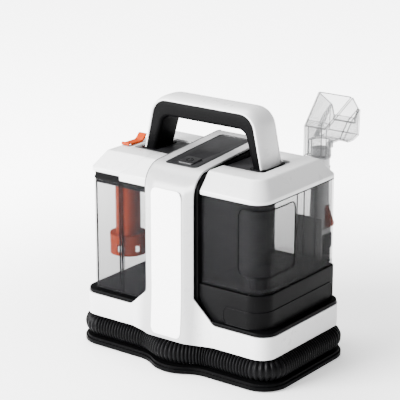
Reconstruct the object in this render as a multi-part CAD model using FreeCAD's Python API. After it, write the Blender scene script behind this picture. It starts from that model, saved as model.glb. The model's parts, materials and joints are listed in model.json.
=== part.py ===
"""Portable carpet spot cleaner: two side tanks, a centre column, a wrapped hose and a hand tool.

Millimetres. The machine is drawn with X across its width, the front facing -Y and +Z up.
The last step moves every piece so that the origin is at the bottom centre of the whole box.
"""
import FreeCAD, Part
import math
import os
from FreeCAD import Vector

# ---- driving dimensions -------------------------------------------------------------------
SKIRT_WIDTH = 344.0
SKIRT_DEPTH = 204.0
SKIRT_HEIGHT = 34.0
SKIRT_CORNER = 25.0
SKIRT_WALL = 3.0
FOOT_LEDGE_X = 12.0         # the foot plate stands out past the skirt by this much
FOOT_LEDGE_Y = 6.0
PLATE_THICK = 10.0
PAD_PROUD = 2.0             # rubber pads below the foot plate
PAD_RADIUS = 12.0
HOSE_OD = 35.4
HOSE_TURN = 24.0            # centre line radius where the hose turns a corner
BULGE_HALF = 62.0           # half width of the swelling at the foot of the column
BULGE_X = 6.0
FOOT_BULGE = 19.0
SKIRT_BULGE = 14.0
SPINE_WIDTH = 88.0
SPINE_FRONT = 104.0
SPINE_BACK = 103.0
SPINE_FRONT_TOP = 303.5     # height of the sloping top line over the front face
SPINE_RISE = 18.0           # the top line climbs this much from front to back
SPINE_BEND = 32.0
SPINE_SKIN = 5.0
STRIP_WIDTH = 55.0
STRIP_PROUD = 8.0
CORE_LEDGE = 4.0            # the black column stands out past each side of the spine
DECK_THICK = 6.0
TANK_GAP = 1.5              # between a tank and the column, and under a tank
TANK_WALL = 2.5
DIRTY_WIDTH = 103.5
DIRTY_DEPTH = 184.0
DIRTY_HEIGHT = 175.0
CLEAN_WIDTH = 108.0
CLEAN_DEPTH = 184.0
CLEAN_CORNERS = (0, 25, 4, 0)
DIRTY_CORNERS = (3, 3, 3, 8)
CAP_CORNERS = (0, 27, 10, 0)
DIRTY_CAP_CORNERS = (0, 12, 12, 0)
CAP_BOTTOM = 275.0
CAP_LIP = 6.0
CAP_HEIGHT = 30.5
CAP_HALF_DEPTH = 96.0
CAP_OUTER = 158.0
CAP_SLOPE_X = 18.0
CAP_SLOPE_Y = 21.0
CAP_WALL = 3.0
BRIDGE_REACH = 118.0        # how far the handle bridge reaches from the centre
BRIDGE_FRONT = 39.0
BRIDGE_BACK = 35.0
BRIDGE_THICK = 18.0
BRIDGE_SINK = 2.5           # top of the bridge below the cap top
BRIDGE_GAP = 1.2
HANDLE_RISE = 82.5
HANDLE_LEAN = 18.0          # each leg leans in by this much from foot to shoulder
HANDLE_DEPTH = 52.0
HANDLE_BAR = 31.0           # bar and leg sizes include the white skin
HANDLE_LEG = 22.0
HANDLE_SKIN = 7.0
HANDLE_BEND = 32.0
HANDLE_INNER_BEND = 15.0
PANEL_WIDTH = 58.0
PANEL_FRONT = 78.0
PANEL_BACK = 64.0
PANEL_THICK = 4.5
BUTTON_WIDTH = 28.0
BUTTON_DEPTH = 27.0
BUTTON_Y = -54.0
BUTTON_TRAVEL = 1.5
BAY_TOP = 140.0             # top of the black housing under the clean tank
MOTOR_RADIUS = 34.0
MOTOR_HEIGHT = 66.0
SHAFT_RADIUS = 4.0
SHAFT_FIT = 0.05            # radial running clearance
FAN_RADIUS = 38.0
TOOL_X = 109.0
HOSE_SWING_GAP = 1.5        # the hose clears the foot plate by this much where it rises
TOOL_BOTTOM = 170.0
GRIP_WIDTH = 27.0
GRIP_DEPTH = 31.0
GRIP_HEIGHT = 108.0
PIPE_RADIUS = 14.0
PIPE_WALL = 1.8
TRIGGER_PIVOT = 42.0        # height of the trigger pin above the tool's lower end
PIN_RADIUS = 1.5
FIT = 0.4                   # general gap between a moving piece and what it passes
SCREW_RADIUS = 3.0
SEAL = 1.6
LID_THICK = 2.5
LID_PLUG = 7.0              # the lid reaches this far down inside the waste tank
EXHAUST_Z = 190.0
EXHAUST_RADIUS = 30.0
INLET_Y = 40.0
INLET_Z = 234.0
INLET_RADIUS = 11.0
CORD_Z = 112.0
CORD_RADIUS = 9.0
MOTOR_Y = 22.0
MOTOR_LIFT = 40.0           # motor above the skirt
CRADLE_THICK = 4.0
FAN_BAY = 30.0
DUCT_RADIUS = 18.0
PUMP_Y = -62.0
PUMP_RADIUS = 22.0
PUMP_HEIGHT = 44.0
BOARD_FRONT = -86.0
BOARD_BACK = -24.0
BOARD_THICK = 1.6
DECK_INSET = 1.5
VALVE_X = 100.0
VALVE_Y = 30.0
VALVE_RADIUS = 12.0
SEAM_OUT = 100.0            # seam between the left shoulder and the waste tank's cap
SEAM_IN = 66.0
SEPARATOR_X = -115.0
SEPARATOR_Y = -58.0
SEPARATOR_RADIUS = 19.0
COLLAR_RADIUS = 28.0
COLLAR_LIFT = 57.0
COLLAR_HEIGHT = 31.0
FLOAT_RADIUS = 11.0
RIB_X = -105.0
DRAIN_X = -98.0
DRAIN_Y = 22.0
DRAIN_RADIUS = 27.0
RIM_LEDGE = 4.0
LATCH_X = -130.5
LATCH_FRONT = -45.0
LATCH_LENGTH = 45.0
LATCH_HALF = 7.0
LATCH_PIN_RADIUS = 1.2
NOZZLE_LOW = 293.0
NOZZLE_HALF = 20.0
NOZZLE_WAIST = 46.0         # heights above the nozzle's lower end
NOZZLE_LIP = 86.0
NOZZLE_LEAN = 55.0          # the front plate leans back by this much
MOUTH_HALF = 31.0
NOZZLE_WALL = 2.0
NOZZLE_NECK = 16.0
PLATE_SKIN = 1.8
SOCKET_X = 22.0
SOCKET_LENGTH = 40.0
SWING_RADIUS = 110.0        # hose arcs where it leaves the base and where it turns up
RISE_RADIUS = 52.0

# ---- heights that follow from them ---------------------------------------------------------
PLATE_TOP = PAD_PROUD + PLATE_THICK
SKIRT_BOTTOM = PLATE_TOP + HOSE_OD + 0.6
SKIRT_TOP = SKIRT_BOTTOM + SKIRT_HEIGHT
DECK_TOP = SKIRT_TOP + DECK_THICK
HOSE_Z = (PLATE_TOP + SKIRT_BOTTOM) / 2
CAP_TOP = CAP_BOTTOM + CAP_HEIGHT
BRIDGE_TOP = CAP_TOP - BRIDGE_SINK
BRIDGE_BOTTOM = BRIDGE_TOP - BRIDGE_THICK
HANDLE_TOP = CAP_TOP + HANDLE_RISE
HANDLE_FOOT = BRIDGE_REACH - 6.5
HANDLE_SHOULDER = HANDLE_FOOT - HANDLE_LEAN
HALF_SKIRT_X = SKIRT_WIDTH / 2
HALF_SKIRT_Y = SKIRT_DEPTH / 2
HALF_FOOT_X = HALF_SKIRT_X + FOOT_LEDGE_X
HALF_FOOT_Y = HALF_SKIRT_Y + FOOT_LEDGE_Y
HOSE_X = HALF_FOOT_X - HOSE_OD / 2
HOSE_Y = HALF_FOOT_Y - HOSE_OD / 2
CHANNEL_X = HOSE_X - HOSE_OD / 2 - 3.0
CHANNEL_Y = HOSE_Y - HOSE_OD / 2 - 3.0
PAD_X = HALF_FOOT_X - 38.0
PAD_Y = HALF_FOOT_Y - 34.0
PAD_PLACES = [(x, y) for x in (-PAD_X, PAD_X) for y in (-PAD_Y, PAD_Y)]
MOTOR_Z = SKIRT_TOP + MOTOR_LIFT
HALF_SPINE = SPINE_WIDTH / 2
CORE_SIDE = HALF_SPINE + CORE_LEDGE
TANK_INNER = CORE_SIDE + TANK_GAP
DIRTY_BOTTOM = DECK_TOP + 0.5
DIRTY_TOP = DIRTY_BOTTOM + DIRTY_HEIGHT
DIRTY_LID_TOP = DIRTY_TOP + SEAL + LID_THICK
COLLAR_LOW = DIRTY_BOTTOM + COLLAR_LIFT
COLLAR_HIGH = COLLAR_LOW + COLLAR_HEIGHT
LATCH_PIN_Z = CAP_TOP + 3.2
DIRTY_OUTER = TANK_INNER + DIRTY_WIDTH
CLEAN_OUTER = TANK_INNER + CLEAN_WIDTH
CLEAN_BOTTOM = BAY_TOP + 0.5
TOOL_TOP = TOOL_BOTTOM + GRIP_HEIGHT
TOOL_Y = HALF_FOOT_Y + HOSE_SWING_GAP + HOSE_OD / 2

pieces = {}


# ---- shape helpers -------------------------------------------------------------------------
def outline(corners, plane, level):
    """Face from corners (a, b, radius) in the XY, XZ or YZ plane, with tangent arcs."""
    place = {"XY": lambda a, b: Vector(a, b, level),
             "XZ": lambda a, b: Vector(a, level, b),
             "YZ": lambda a, b: Vector(level, a, b)}[plane]
    stations = []
    for index, (a, b, radius) in enumerate(corners):
        here = Vector(a, b, 0)
        before = Vector(*corners[index - 1][:2], 0) - here
        after = Vector(*corners[(index + 1) % len(corners)][:2], 0) - here
        if radius <= 0:
            stations.append((here, None, here))
            continue
        half = before.getAngle(after) / 2
        before.normalize()
        after.normalize()
        middle = before + after
        middle.normalize()
        run = radius / math.tan(half)
        bulge = middle * (radius / math.sin(half) - radius)
        stations.append((here + before * run, here + bulge, here + after * run))
    edges = []
    for index, (start, top, end) in enumerate(stations):
        if top is not None:
            points = [place(spot.x, spot.y) for spot in (start, top, end)]
            edges.append(Part.Arc(*points).toShape())
        following = stations[(index + 1) % len(stations)][0]
        if (following - end).Length > 1e-6:
            edges.append(Part.LineSegment(place(end.x, end.y), place(following.x, following.y)).toShape())
    return Part.Face(Part.Wire(edges))


def slab(corners, plane, low, high):
    """Outline drawn at low and extruded to high along the plane's own normal."""
    along = {"XY": Vector(0, 0, 1), "XZ": Vector(0, 1, 0), "YZ": Vector(1, 0, 0)}[plane]
    return outline(corners, plane, low).extrude(along * (high - low))


def rectangle(x0, x1, y0, y1, *radii):
    """Corners of a rectangle, anticlockwise from low x, low y."""
    radii = radii * 4 if len(radii) == 1 else radii
    return [(x0, y0, radii[0]), (x1, y0, radii[1]), (x1, y1, radii[2]), (x0, y1, radii[3])]


def block(x0, x1, y0, y1, z0, z1, *radii):
    return slab(rectangle(x0, x1, y0, y1, *(radii or (0,))), "XY", z0, z1)


def cylinder(x, y, z, radius, length, axis=Vector(0, 0, 1)):
    return Part.makeCylinder(radius, length, Vector(x, y, z), axis)


def tube(x, y, z, radius, wall, length, axis=Vector(0, 0, 1)):
    return cylinder(x, y, z, radius, length, axis).cut(cylinder(x, y, z, radius - wall, length, axis))


def swelling(height, level, edge):
    """Four tangent arcs that swell forward from y = -edge, centred on BULGE_X."""
    turn = 2 * math.atan(height / BULGE_HALF)
    radius = BULGE_HALF / 2 / math.sin(turn)
    start = BULGE_X - BULGE_HALF

    def at(x, y):
        return Vector(x, y, level)
    inflection = at(start + BULGE_HALF / 2, -edge - height / 2)
    first_mid = at(start + radius * math.sin(turn / 2), -edge - radius * (1 - math.cos(turn / 2)))
    second_mid = inflection * 2 - first_mid
    second_mid.z = level
    peak = at(BULGE_X, -edge - height)

    def mirrored(point):
        return at(2 * BULGE_X - point.x, point.y)
    left = [at(start, -edge), first_mid, inflection, second_mid, peak]
    right = [mirrored(point) for point in reversed(left)]
    path = left + right[1:]
    return [Part.Arc(*path[index:index + 3]).toShape() for index in (0, 2, 4, 6)]


def swollen(half_x, half_y, corner, height, low, high):
    """Rounded rectangle with the forward swelling, extruded from low to high."""
    arcs = swelling(height, low, half_y)
    turn = corner * (1 - math.sqrt(0.5))

    def at(x, y):
        return Vector(x, y, low)
    ends = [(at(half_x - corner, -half_y), at(half_x - turn, -half_y + turn), at(half_x, -half_y + corner)),
            (at(half_x, half_y - corner), at(half_x - turn, half_y - turn), at(half_x - corner, half_y)),
            (at(corner - half_x, half_y), at(turn - half_x, half_y - turn), at(-half_x, half_y - corner)),
            (at(-half_x, corner - half_y), at(turn - half_x, turn - half_y), at(corner - half_x, -half_y))]
    edges = list(arcs)
    here = at(BULGE_X + BULGE_HALF, -half_y)
    for start, middle, end in ends:
        edges.append(Part.LineSegment(here, start).toShape())
        edges.append(Part.Arc(start, middle, end).toShape())
        here = end
    edges.append(Part.LineSegment(here, at(BULGE_X - BULGE_HALF, -half_y)).toShape())
    return Part.Face(Part.Wire(edges)).extrude(Vector(0, 0, high - low))


def sloped(x0, x1, y0, y1, radii, low, high, slope_x0, slope_x1, slope_y):
    """Rounded block whose top is drawn in from its sides, with flat slopes."""
    bottom = outline(rectangle(x0, x1, y0, y1, *radii), "XY", low).OuterWire
    top_radii = [max(radius * 0.55, 0) for radius in radii]
    top = outline(rectangle(x0 + slope_x0, x1 - slope_x1, y0 + slope_y, y1 - slope_y, *top_radii), "XY", high)
    return Part.makeLoft([bottom, top.OuterWire], True, True)


def spine_height(y):
    return SPINE_FRONT_TOP + (y + SPINE_FRONT) * SPINE_RISE / (SPINE_FRONT + SPINE_BACK)


def spine_profile(inset, low, half):
    """The arch from front to back, drawn inset from the outside and extruded to +-half."""
    corners = [(-SPINE_FRONT + inset, low, 0), (-SPINE_FRONT + inset, spine_height(-SPINE_FRONT) - inset,
                                                SPINE_BEND - inset),
               (SPINE_BACK - inset, spine_height(SPINE_BACK) - inset, SPINE_BEND - inset),
               (SPINE_BACK - inset, low, 0)]
    return slab(corners, "YZ", -half, half)


def under_top(y0, y1, x0, x1, drop_low, drop_high):
    """Slab that follows the spine's top line, between two drops below it."""
    corners = [(y0, spine_height(y0) - drop_low, 0), (y1, spine_height(y1) - drop_low, 0),
               (y1, spine_height(y1) - drop_high, 0), (y0, spine_height(y0) - drop_high, 0)]
    return slab(corners, "YZ", x0, x1)


def add(name, shape):
    pieces[name] = shape


# ---- base: foot plate, pads, hose channel and skirt -----------------------------------------
def make_foot_plate():
    rim = 4.0
    step = 4.0
    corner = HOSE_TURN + HOSE_OD / 2
    lower = swollen(HALF_FOOT_X, HALF_FOOT_Y, corner, FOOT_BULGE, PAD_PROUD, PLATE_TOP - step)
    upper = swollen(HALF_FOOT_X - 2.5, HALF_FOOT_Y - 2.5, corner - 2.5, FOOT_BULGE, PLATE_TOP - step,
                    PLATE_TOP)
    plate = lower.fuse(upper).removeSplitter()
    pocket = block(rim - HALF_FOOT_X, HALF_FOOT_X - rim, rim - HALF_FOOT_Y, HALF_FOOT_Y - rim,
                   PAD_PROUD, PLATE_TOP - 3.5, corner - rim)
    for x, y in PAD_PLACES:
        pocket = pocket.cut(cylinder(x, y, PAD_PROUD, PAD_RADIUS + 3, PLATE_THICK))
    for x in (-CHANNEL_X / 2, 0.0, CHANNEL_X / 2):
        pocket = pocket.cut(block(x - 1.25, x + 1.25, -HALF_FOOT_Y, HALF_FOOT_Y, PAD_PROUD, PLATE_TOP))
    plate = plate.cut(pocket)
    for x, y in PAD_PLACES:
        plate = plate.cut(cylinder(x, y, PAD_PROUD, PAD_RADIUS, 2.5))
    for x, y in base_screw_places():
        plate = plate.cut(cylinder(x, y, PLATE_TOP - 3.5, SCREW_RADIUS - 1, 3.5))
        plate = plate.cut(cylinder(x, y, PAD_PROUD, SCREW_RADIUS + 1.2, PLATE_THICK - 3.5))
    add("foot_plate", plate)
    pads = [cylinder(x, y, 0, PAD_RADIUS, PAD_PROUD + 2.5) for x, y in PAD_PLACES]
    add("rubber_feet", Part.makeCompound(pads))


def base_screw_places():
    across = CHANNEL_X - 12.0
    along = CHANNEL_Y - 12.0
    return [(x, y) for x in (-across, across) for y in (-along, along)]


def make_channel():
    wall = 3.0
    ring = block(-CHANNEL_X, CHANNEL_X, -CHANNEL_Y, CHANNEL_Y, PLATE_TOP, SKIRT_BOTTOM, 12)
    ring = ring.cut(block(wall - CHANNEL_X, CHANNEL_X - wall, wall - CHANNEL_Y, CHANNEL_Y - wall,
                          PLATE_TOP, SKIRT_BOTTOM, 9))
    for x, y in base_screw_places():
        ring = ring.fuse(cylinder(x, y, PLATE_TOP, 9, SKIRT_BOTTOM - PLATE_TOP))
        ring = ring.cut(cylinder(x, y, PLATE_TOP, SCREW_RADIUS - 1, 20))
    add("hose_channel_wall", ring)
    screws = []
    for x, y in base_screw_places():
        head = cylinder(x, y, PLATE_TOP - 3.5 - 2.2, SCREW_RADIUS + 0.5, 2.2)
        screws.append(head.fuse(cylinder(x, y, PLATE_TOP - 3.5, SCREW_RADIUS - 1, 20)))
    add("base_screws", Part.makeCompound(screws))


def make_skirt():
    wall = SKIRT_WALL
    skirt = swollen(HALF_SKIRT_X, HALF_SKIRT_Y, SKIRT_CORNER, SKIRT_BULGE, SKIRT_BOTTOM, SKIRT_TOP)
    inside = swollen(HALF_SKIRT_X - wall, HALF_SKIRT_Y - wall, SKIRT_CORNER - wall, SKIRT_BULGE,
                     SKIRT_BOTTOM + wall, SKIRT_TOP)
    middle = block(8 - CHANNEL_X, CHANNEL_X - 8, 24 - CHANNEL_Y, CHANNEL_Y - 24, SKIRT_BOTTOM, SKIRT_TOP, 10)
    skirt = skirt.cut(inside).cut(middle)
    shoulder = SPINE_FRONT - HALF_SKIRT_Y
    for side, reach, rise in ((-1, 32.0, 28.0), (1, 34.0, 34.0)):
        web = slab([(side * HALF_SPINE, SKIRT_TOP, 0), (side * (HALF_SPINE + reach), SKIRT_TOP, 0),
                    (side * HALF_SPINE, SKIRT_TOP + rise, 0)], "XZ", -SPINE_FRONT,
                   -HALF_SKIRT_Y + wall - shoulder)
        skirt = skirt.fuse(web)
    add("lower_skirt", skirt.removeSplitter())


# ---- centre column --------------------------------------------------------------------------
def make_column():
    core_low = SKIRT_BOTTOM + 3.0
    wall = 2.5
    full = spine_profile(SPINE_SKIN, core_low, CORE_SIDE)
    hollow = spine_profile(SPINE_SKIN + wall, core_low + wall, CORE_SIDE - wall)
    button_shaft = block(-BUTTON_WIDTH / 2 - FIT, BUTTON_WIDTH / 2 + FIT, BUTTON_Y - BUTTON_DEPTH / 2 - FIT,
                         BUTTON_Y + BUTTON_DEPTH / 2 + FIT, CAP_BOTTOM, SPINE_FRONT_TOP + SPINE_RISE, 4)
    shell = full.cut(hollow).cut(button_shaft)
    shell = shell.cut(cylinder(0, 0, core_low - 1, 30, 10))
    shell = shell.cut(cylinder(0, SPINE_BACK - SPINE_SKIN - wall - 1, EXHAUST_Z, 26, 12, Vector(0, 1, 0)))
    shell = shell.cut(cylinder(-CORE_SIDE - 1, INLET_Y, INLET_Z, INLET_RADIUS, wall + 3, Vector(1, 0, 0)))
    reach = 200.0
    left = block(-reach, 0, -reach, reach, 0, 2 * reach)
    right = block(0, reach, -reach, reach, 0, 2 * reach)
    add("column_left", shell.common(left))
    add("column_right", shell.common(right))

    arch = spine_profile(0, SKIRT_TOP, HALF_SPINE).cut(spine_profile(SPINE_SKIN, SKIRT_TOP, HALF_SPINE + 1))
    window = block(-PANEL_WIDTH / 2 - 0.3, PANEL_WIDTH / 2 + 0.3, -PANEL_FRONT - 0.3, PANEL_BACK + 0.3,
                   CAP_BOTTOM, SPINE_FRONT_TOP + SPINE_RISE + 5, 6)
    flare = slab([(-SPINE_FRONT, SKIRT_TOP, 0), (-HALF_SKIRT_Y - SKIRT_BULGE + 4, SKIRT_TOP, 0),
                  (-SPINE_FRONT - STRIP_PROUD + 3, SKIRT_TOP + 30, 0), (-SPINE_FRONT, SKIRT_TOP + 110, 0)],
                 "YZ", -HALF_SPINE + 6, HALF_SPINE - 6)
    strip_slot = block(-STRIP_WIDTH / 2, STRIP_WIDTH / 2, -SPINE_FRONT - 20, -SPINE_FRONT, SKIRT_TOP,
                       CAP_BOTTOM)
    arch = arch.cut(window).fuse(flare.cut(strip_slot))
    arch = arch.cut(cylinder(0, SPINE_BACK - SPINE_SKIN - 1, EXHAUST_Z, EXHAUST_RADIUS, 12, Vector(0, 1, 0)))
    arch = arch.cut(cylinder(0, SPINE_BACK - SPINE_SKIN - 1, CORD_Z, CORD_RADIUS, 12, Vector(0, 1, 0)))
    add("spine_shell", arch.removeSplitter())

    strip = slab(rectangle(-STRIP_WIDTH / 2, STRIP_WIDTH / 2, SKIRT_TOP + 0.5, CAP_BOTTOM + 2, 8), "XZ",
                 -SPINE_FRONT - STRIP_PROUD, -SPINE_FRONT)
    add("front_strip", strip)

    sheet = under_top(-PANEL_FRONT - 1, PANEL_BACK + 1, -HALF_SPINE, HALF_SPINE, SPINE_SKIN,
                      SPINE_SKIN - PANEL_THICK)
    plan = block(-PANEL_WIDTH / 2, PANEL_WIDTH / 2, -PANEL_FRONT, PANEL_BACK, CAP_BOTTOM,
                 SPINE_FRONT_TOP + SPINE_RISE + 5, 6)
    add("control_panel", sheet.common(plan).cut(button_shaft).cut(full))
    cap = under_top(BUTTON_Y - 30, BUTTON_Y + 30, -HALF_SPINE, HALF_SPINE, SPINE_SKIN + 5, -0.8)
    press = block(-BUTTON_WIDTH / 2, BUTTON_WIDTH / 2, BUTTON_Y - BUTTON_DEPTH / 2,
                  BUTTON_Y + BUTTON_DEPTH / 2, CAP_BOTTOM, SPINE_FRONT_TOP + SPINE_RISE + 5, 3.6)
    add("power_button", cap.common(press))


# ---- motor, fan, pump and board inside the column ---------------------------------------------
def make_motor():
    inner = CORE_SIDE - 2.5
    top = MOTOR_Z + MOTOR_HEIGHT
    can = cylinder(0, MOTOR_Y, MOTOR_Z, MOTOR_RADIUS, MOTOR_HEIGHT)
    can = can.cut(cylinder(0, MOTOR_Y, MOTOR_Z + 8, MOTOR_RADIUS - 2.5, MOTOR_HEIGHT - 16))
    can = can.cut(cylinder(0, MOTOR_Y, MOTOR_Z - 1, SHAFT_RADIUS + SHAFT_FIT, MOTOR_HEIGHT + 2))
    add("motor_can", can)
    cradle = block(-inner, inner, MOTOR_Y - 44, MOTOR_Y + 44, MOTOR_Z - CRADLE_THICK, MOTOR_Z)
    cradle = cradle.cut(cylinder(0, MOTOR_Y, MOTOR_Z - CRADLE_THICK, 18, CRADLE_THICK))
    add("motor_cradle", cradle)
    scroll = cylinder(0, MOTOR_Y, top, FAN_RADIUS + 5, FAN_BAY)
    scroll = scroll.cut(cylinder(0, MOTOR_Y, top + 2.5, FAN_RADIUS + 2.5, FAN_BAY - 5))
    scroll = scroll.cut(cylinder(0, MOTOR_Y, top + FAN_BAY - 3, 15, 4))
    scroll = scroll.cut(cylinder(0, MOTOR_Y, top - 1, SHAFT_RADIUS + 1.5, 5))
    scroll = scroll.cut(cylinder(0, MOTOR_Y, top + FAN_BAY / 2, 9, 60, Vector(0, 1, 0)))
    add("fan_housing", scroll)
    shaft = cylinder(0, MOTOR_Y, MOTOR_Z + 1, SHAFT_RADIUS, MOTOR_HEIGHT + FAN_BAY - 8)
    add("motor_shaft", shaft)
    hub_z = top + 6
    hub_high = 15.0
    fan = cylinder(0, MOTOR_Y, hub_z, FAN_RADIUS - 2, 2).fuse(cylinder(0, MOTOR_Y, hub_z, 9, hub_high))
    for step in range(9):
        blade = block(8, FAN_RADIUS - 3, -1, 1, hub_z, hub_z + hub_high)
        blade.rotate(Vector(0, 0, 0), Vector(0, 0, 1), step * 40)
        blade.translate(Vector(0, MOTOR_Y, 0))
        fan = fan.fuse(blade)
    add("fan_wheel", fan.cut(cylinder(0, MOTOR_Y, hub_z, SHAFT_RADIUS, hub_high)).removeSplitter())
    duct_z = top + FAN_BAY
    duct_high = INLET_Z - duct_z + DUCT_RADIUS - 2
    duct = tube(0, MOTOR_Y, duct_z, DUCT_RADIUS, 2, duct_high)
    duct = duct.fuse(cylinder(0, MOTOR_Y, duct_z + duct_high, DUCT_RADIUS, 2))
    mouth = cylinder(-inner, MOTOR_Y, INLET_Z, INLET_RADIUS, inner, Vector(1, 0, 0))
    duct = duct.fuse(mouth).cut(cylinder(-inner, MOTOR_Y, INLET_Z, INLET_RADIUS - 2, inner, Vector(1, 0, 0)))
    add("suction_duct", duct.cut(cylinder(0, MOTOR_Y, duct_z, DUCT_RADIUS - 2, duct_high)))
    board_z = CAP_BOTTOM - 6
    board = block(-inner + 6, inner - 6, BOARD_FRONT, BOARD_BACK, board_z, board_z + BOARD_THICK)
    for x, y, size in ((-22, -70, 14), (20, -66, 18), (-14, -40, 10), (18, -38, 12)):
        part = block(x - size / 2, x + size / 2, y - size / 3, y + size / 3, board_z + BOARD_THICK,
                     board_z + 9)
        board = board.fuse(part)
    add("control_board", board)


def make_pump():
    base = SKIRT_TOP + 2.5
    middle = base + PUMP_HEIGHT / 2
    shaft_radius = SHAFT_RADIUS - 1
    body = cylinder(0, PUMP_Y, base, PUMP_RADIUS, PUMP_HEIGHT)
    body = body.cut(cylinder(0, PUMP_Y, middle, PUMP_RADIUS - 3, 18))
    body = body.cut(cylinder(0, PUMP_Y, base + 8, shaft_radius + SHAFT_FIT, 40))
    add("water_pump", body.fuse(tube(0, PUMP_Y, base + PUMP_HEIGHT, 5, 1.5, 14)))
    rotor = cylinder(0, PUMP_Y, middle + 2, PUMP_RADIUS - 6, 12)
    rotor = rotor.fuse(cylinder(0, PUMP_Y, base + 9, shaft_radius, 34))
    for step in range(4):
        slot = block(7, PUMP_RADIUS - 2, -1.5, 1.5, middle + 8, middle + 15)
        slot.rotate(Vector(0, 0, 0), Vector(0, 0, 1), step * 90)
        slot.translate(Vector(0, PUMP_Y, 0))
        rotor = rotor.cut(slot)
    add("pump_rotor", rotor)


def make_exhaust():
    face = SPINE_BACK
    filter_pad = cylinder(0, face - SPINE_SKIN - 12, EXHAUST_Z, 25.5, 12, Vector(0, 1, 0))
    add("exhaust_filter", filter_pad)
    grille = cylinder(0, face - SPINE_SKIN, EXHAUST_Z, EXHAUST_RADIUS, SPINE_SKIN, Vector(0, 1, 0))
    for step in range(-3, 4):
        half = math.sqrt(24 ** 2 - (step * 7) ** 2)
        level = EXHAUST_Z + step * 7
        grille = grille.cut(block(-half, half, face - SPINE_SKIN, face, level - 2, level + 2))
    add("exhaust_grille", grille)
    gland = cylinder(0, face - SPINE_SKIN, CORD_Z, CORD_RADIUS, SPINE_SKIN + 4, Vector(0, 1, 0))
    add("cord_gland", gland.cut(cylinder(0, face - SPINE_SKIN, CORD_Z, 3.6, SPINE_SKIN + 4, Vector(0, 1, 0))))


# ---- tank decks -------------------------------------------------------------------------------
def make_decks():
    outer = HALF_SKIRT_X - DECK_INSET
    front = HALF_SKIRT_Y - DECK_INSET
    corner_radius = SKIRT_CORNER - DECK_INSET
    left = block(-outer, -CORE_SIDE, -front, front, SKIRT_TOP, DECK_TOP, corner_radius, 0, 0, corner_radius)
    add("dirty_tank_deck", left)
    right = block(CORE_SIDE, outer, -front, front, SKIRT_TOP, DECK_TOP, 0, corner_radius, corner_radius, 0)
    add("clean_tank_deck", right)
    wall = SKIRT_WALL
    bay_x = CLEAN_OUTER + 2
    bay_y = CLEAN_DEPTH / 2 + 4
    outside = block(CORE_SIDE, bay_x, -bay_y, bay_y, DECK_TOP, BAY_TOP, 0, 29, 8, 0)
    inside = block(CORE_SIDE + wall, bay_x - wall, wall - bay_y, bay_y - wall, DECK_TOP, BAY_TOP - wall,
                   0, 26, 5, 0)
    bevel = slab([(CORE_SIDE, DECK_TOP, 0), (CORE_SIDE + 24, DECK_TOP, 0), (CORE_SIDE, DECK_TOP + 32, 0)],
                 "XZ", -bay_y - 1, -bay_y + 2.4)
    bay = outside.cut(inside).cut(bevel)
    bay = bay.cut(cylinder(VALVE_X, VALVE_Y, BAY_TOP - wall, VALVE_RADIUS - 2, wall))
    bay = bay.fuse(tube(VALVE_X, VALVE_Y, BAY_TOP - 16, VALVE_RADIUS, 2, 16 - wall))
    add("pump_bay", bay.removeSplitter())


# ---- caps, bridge and handle ------------------------------------------------------------------
def cap_body(side, radii):
    """Hollow cap of one tank on side -1 or +1, with a well where the handle bridge lies."""
    def half(shrink, top_drop):
        near = TANK_INNER + shrink
        far = CAP_OUTER - shrink
        deep = CAP_HALF_DEPTH - shrink
        corners = [max(radius - shrink, 0) for radius in radii]
        lip = block(near, far, -deep, deep, CAP_BOTTOM, CAP_BOTTOM + CAP_LIP, *corners)
        roof = sloped(near, far, -deep, deep, corners, CAP_BOTTOM + CAP_LIP, CAP_TOP - top_drop, 0,
                      CAP_SLOPE_X, CAP_SLOPE_Y)
        return lip.fuse(roof)
    solid = half(0, 0)
    hollow = half(CAP_WALL, CAP_WALL)
    well_wall = CAP_WALL
    far = BRIDGE_REACH + BRIDGE_GAP
    low = BRIDGE_BOTTOM - BRIDGE_GAP
    well = block(CORE_SIDE - 5, far, -BRIDGE_FRONT - BRIDGE_GAP, BRIDGE_BACK + BRIDGE_GAP, low, CAP_TOP + 1,
                 0, 8, 8, 0)
    liner = block(CORE_SIDE - 5, far + well_wall, -BRIDGE_FRONT - BRIDGE_GAP - well_wall,
                  BRIDGE_BACK + BRIDGE_GAP + well_wall, low - well_wall, CAP_TOP + 1, 0, 10, 10, 0)
    shape = solid.cut(hollow.cut(liner)).cut(well).removeSplitter()
    if side < 0:
        shape = shape.mirror(Vector(0, 0, 0), Vector(1, 0, 0))
    return shape


def make_caps():
    add("clean_tank_cap", cap_body(1, CAP_CORNERS))
    left = cap_body(-1, DIRTY_CAP_CORNERS)
    deep = CAP_HALF_DEPTH + 2
    turn = CAP_HALF_DEPTH - CAP_SLOPE_Y

    def seam(shift):
        return [(-CORE_SIDE + 5, -deep, 0), (-CORE_SIDE + 5, deep, 0), (-SEAM_OUT + shift, deep, 0),
                (-SEAM_OUT + shift, CAP_HALF_DEPTH, 0), (-SEAM_IN + shift, turn, 8),
                (-SEAM_IN + shift, -turn, 8), (-SEAM_OUT + shift, -CAP_HALF_DEPTH, 0),
                (-SEAM_OUT + shift, -deep, 0)]
    low = DIRTY_LID_TOP + 0.6
    inner = slab(seam(0), "XY", low, CAP_TOP + 1)
    outer_cut = slab(seam(-0.5), "XY", low, CAP_TOP + 1)
    skirt_low = block(-SEAM_OUT, -TANK_INNER, -CAP_HALF_DEPTH, CAP_HALF_DEPTH, low, CAP_BOTTOM)
    skirt_low = skirt_low.cut(block(-SEAM_OUT + CAP_WALL, -TANK_INNER, CAP_WALL - CAP_HALF_DEPTH,
                                    CAP_HALF_DEPTH - CAP_WALL, low, CAP_BOTTOM))
    shoulder = left.common(inner).fuse(skirt_low.common(inner))
    add("left_shoulder", solid_only(shoulder))
    add("dirty_tank_cap", solid_only(left.cut(outer_cut)))


def solid_only(shape):
    """The largest solid of a shape, without slivers left by cuts."""
    return max(shape.Solids, key=lambda solid: solid.Volume)


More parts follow.
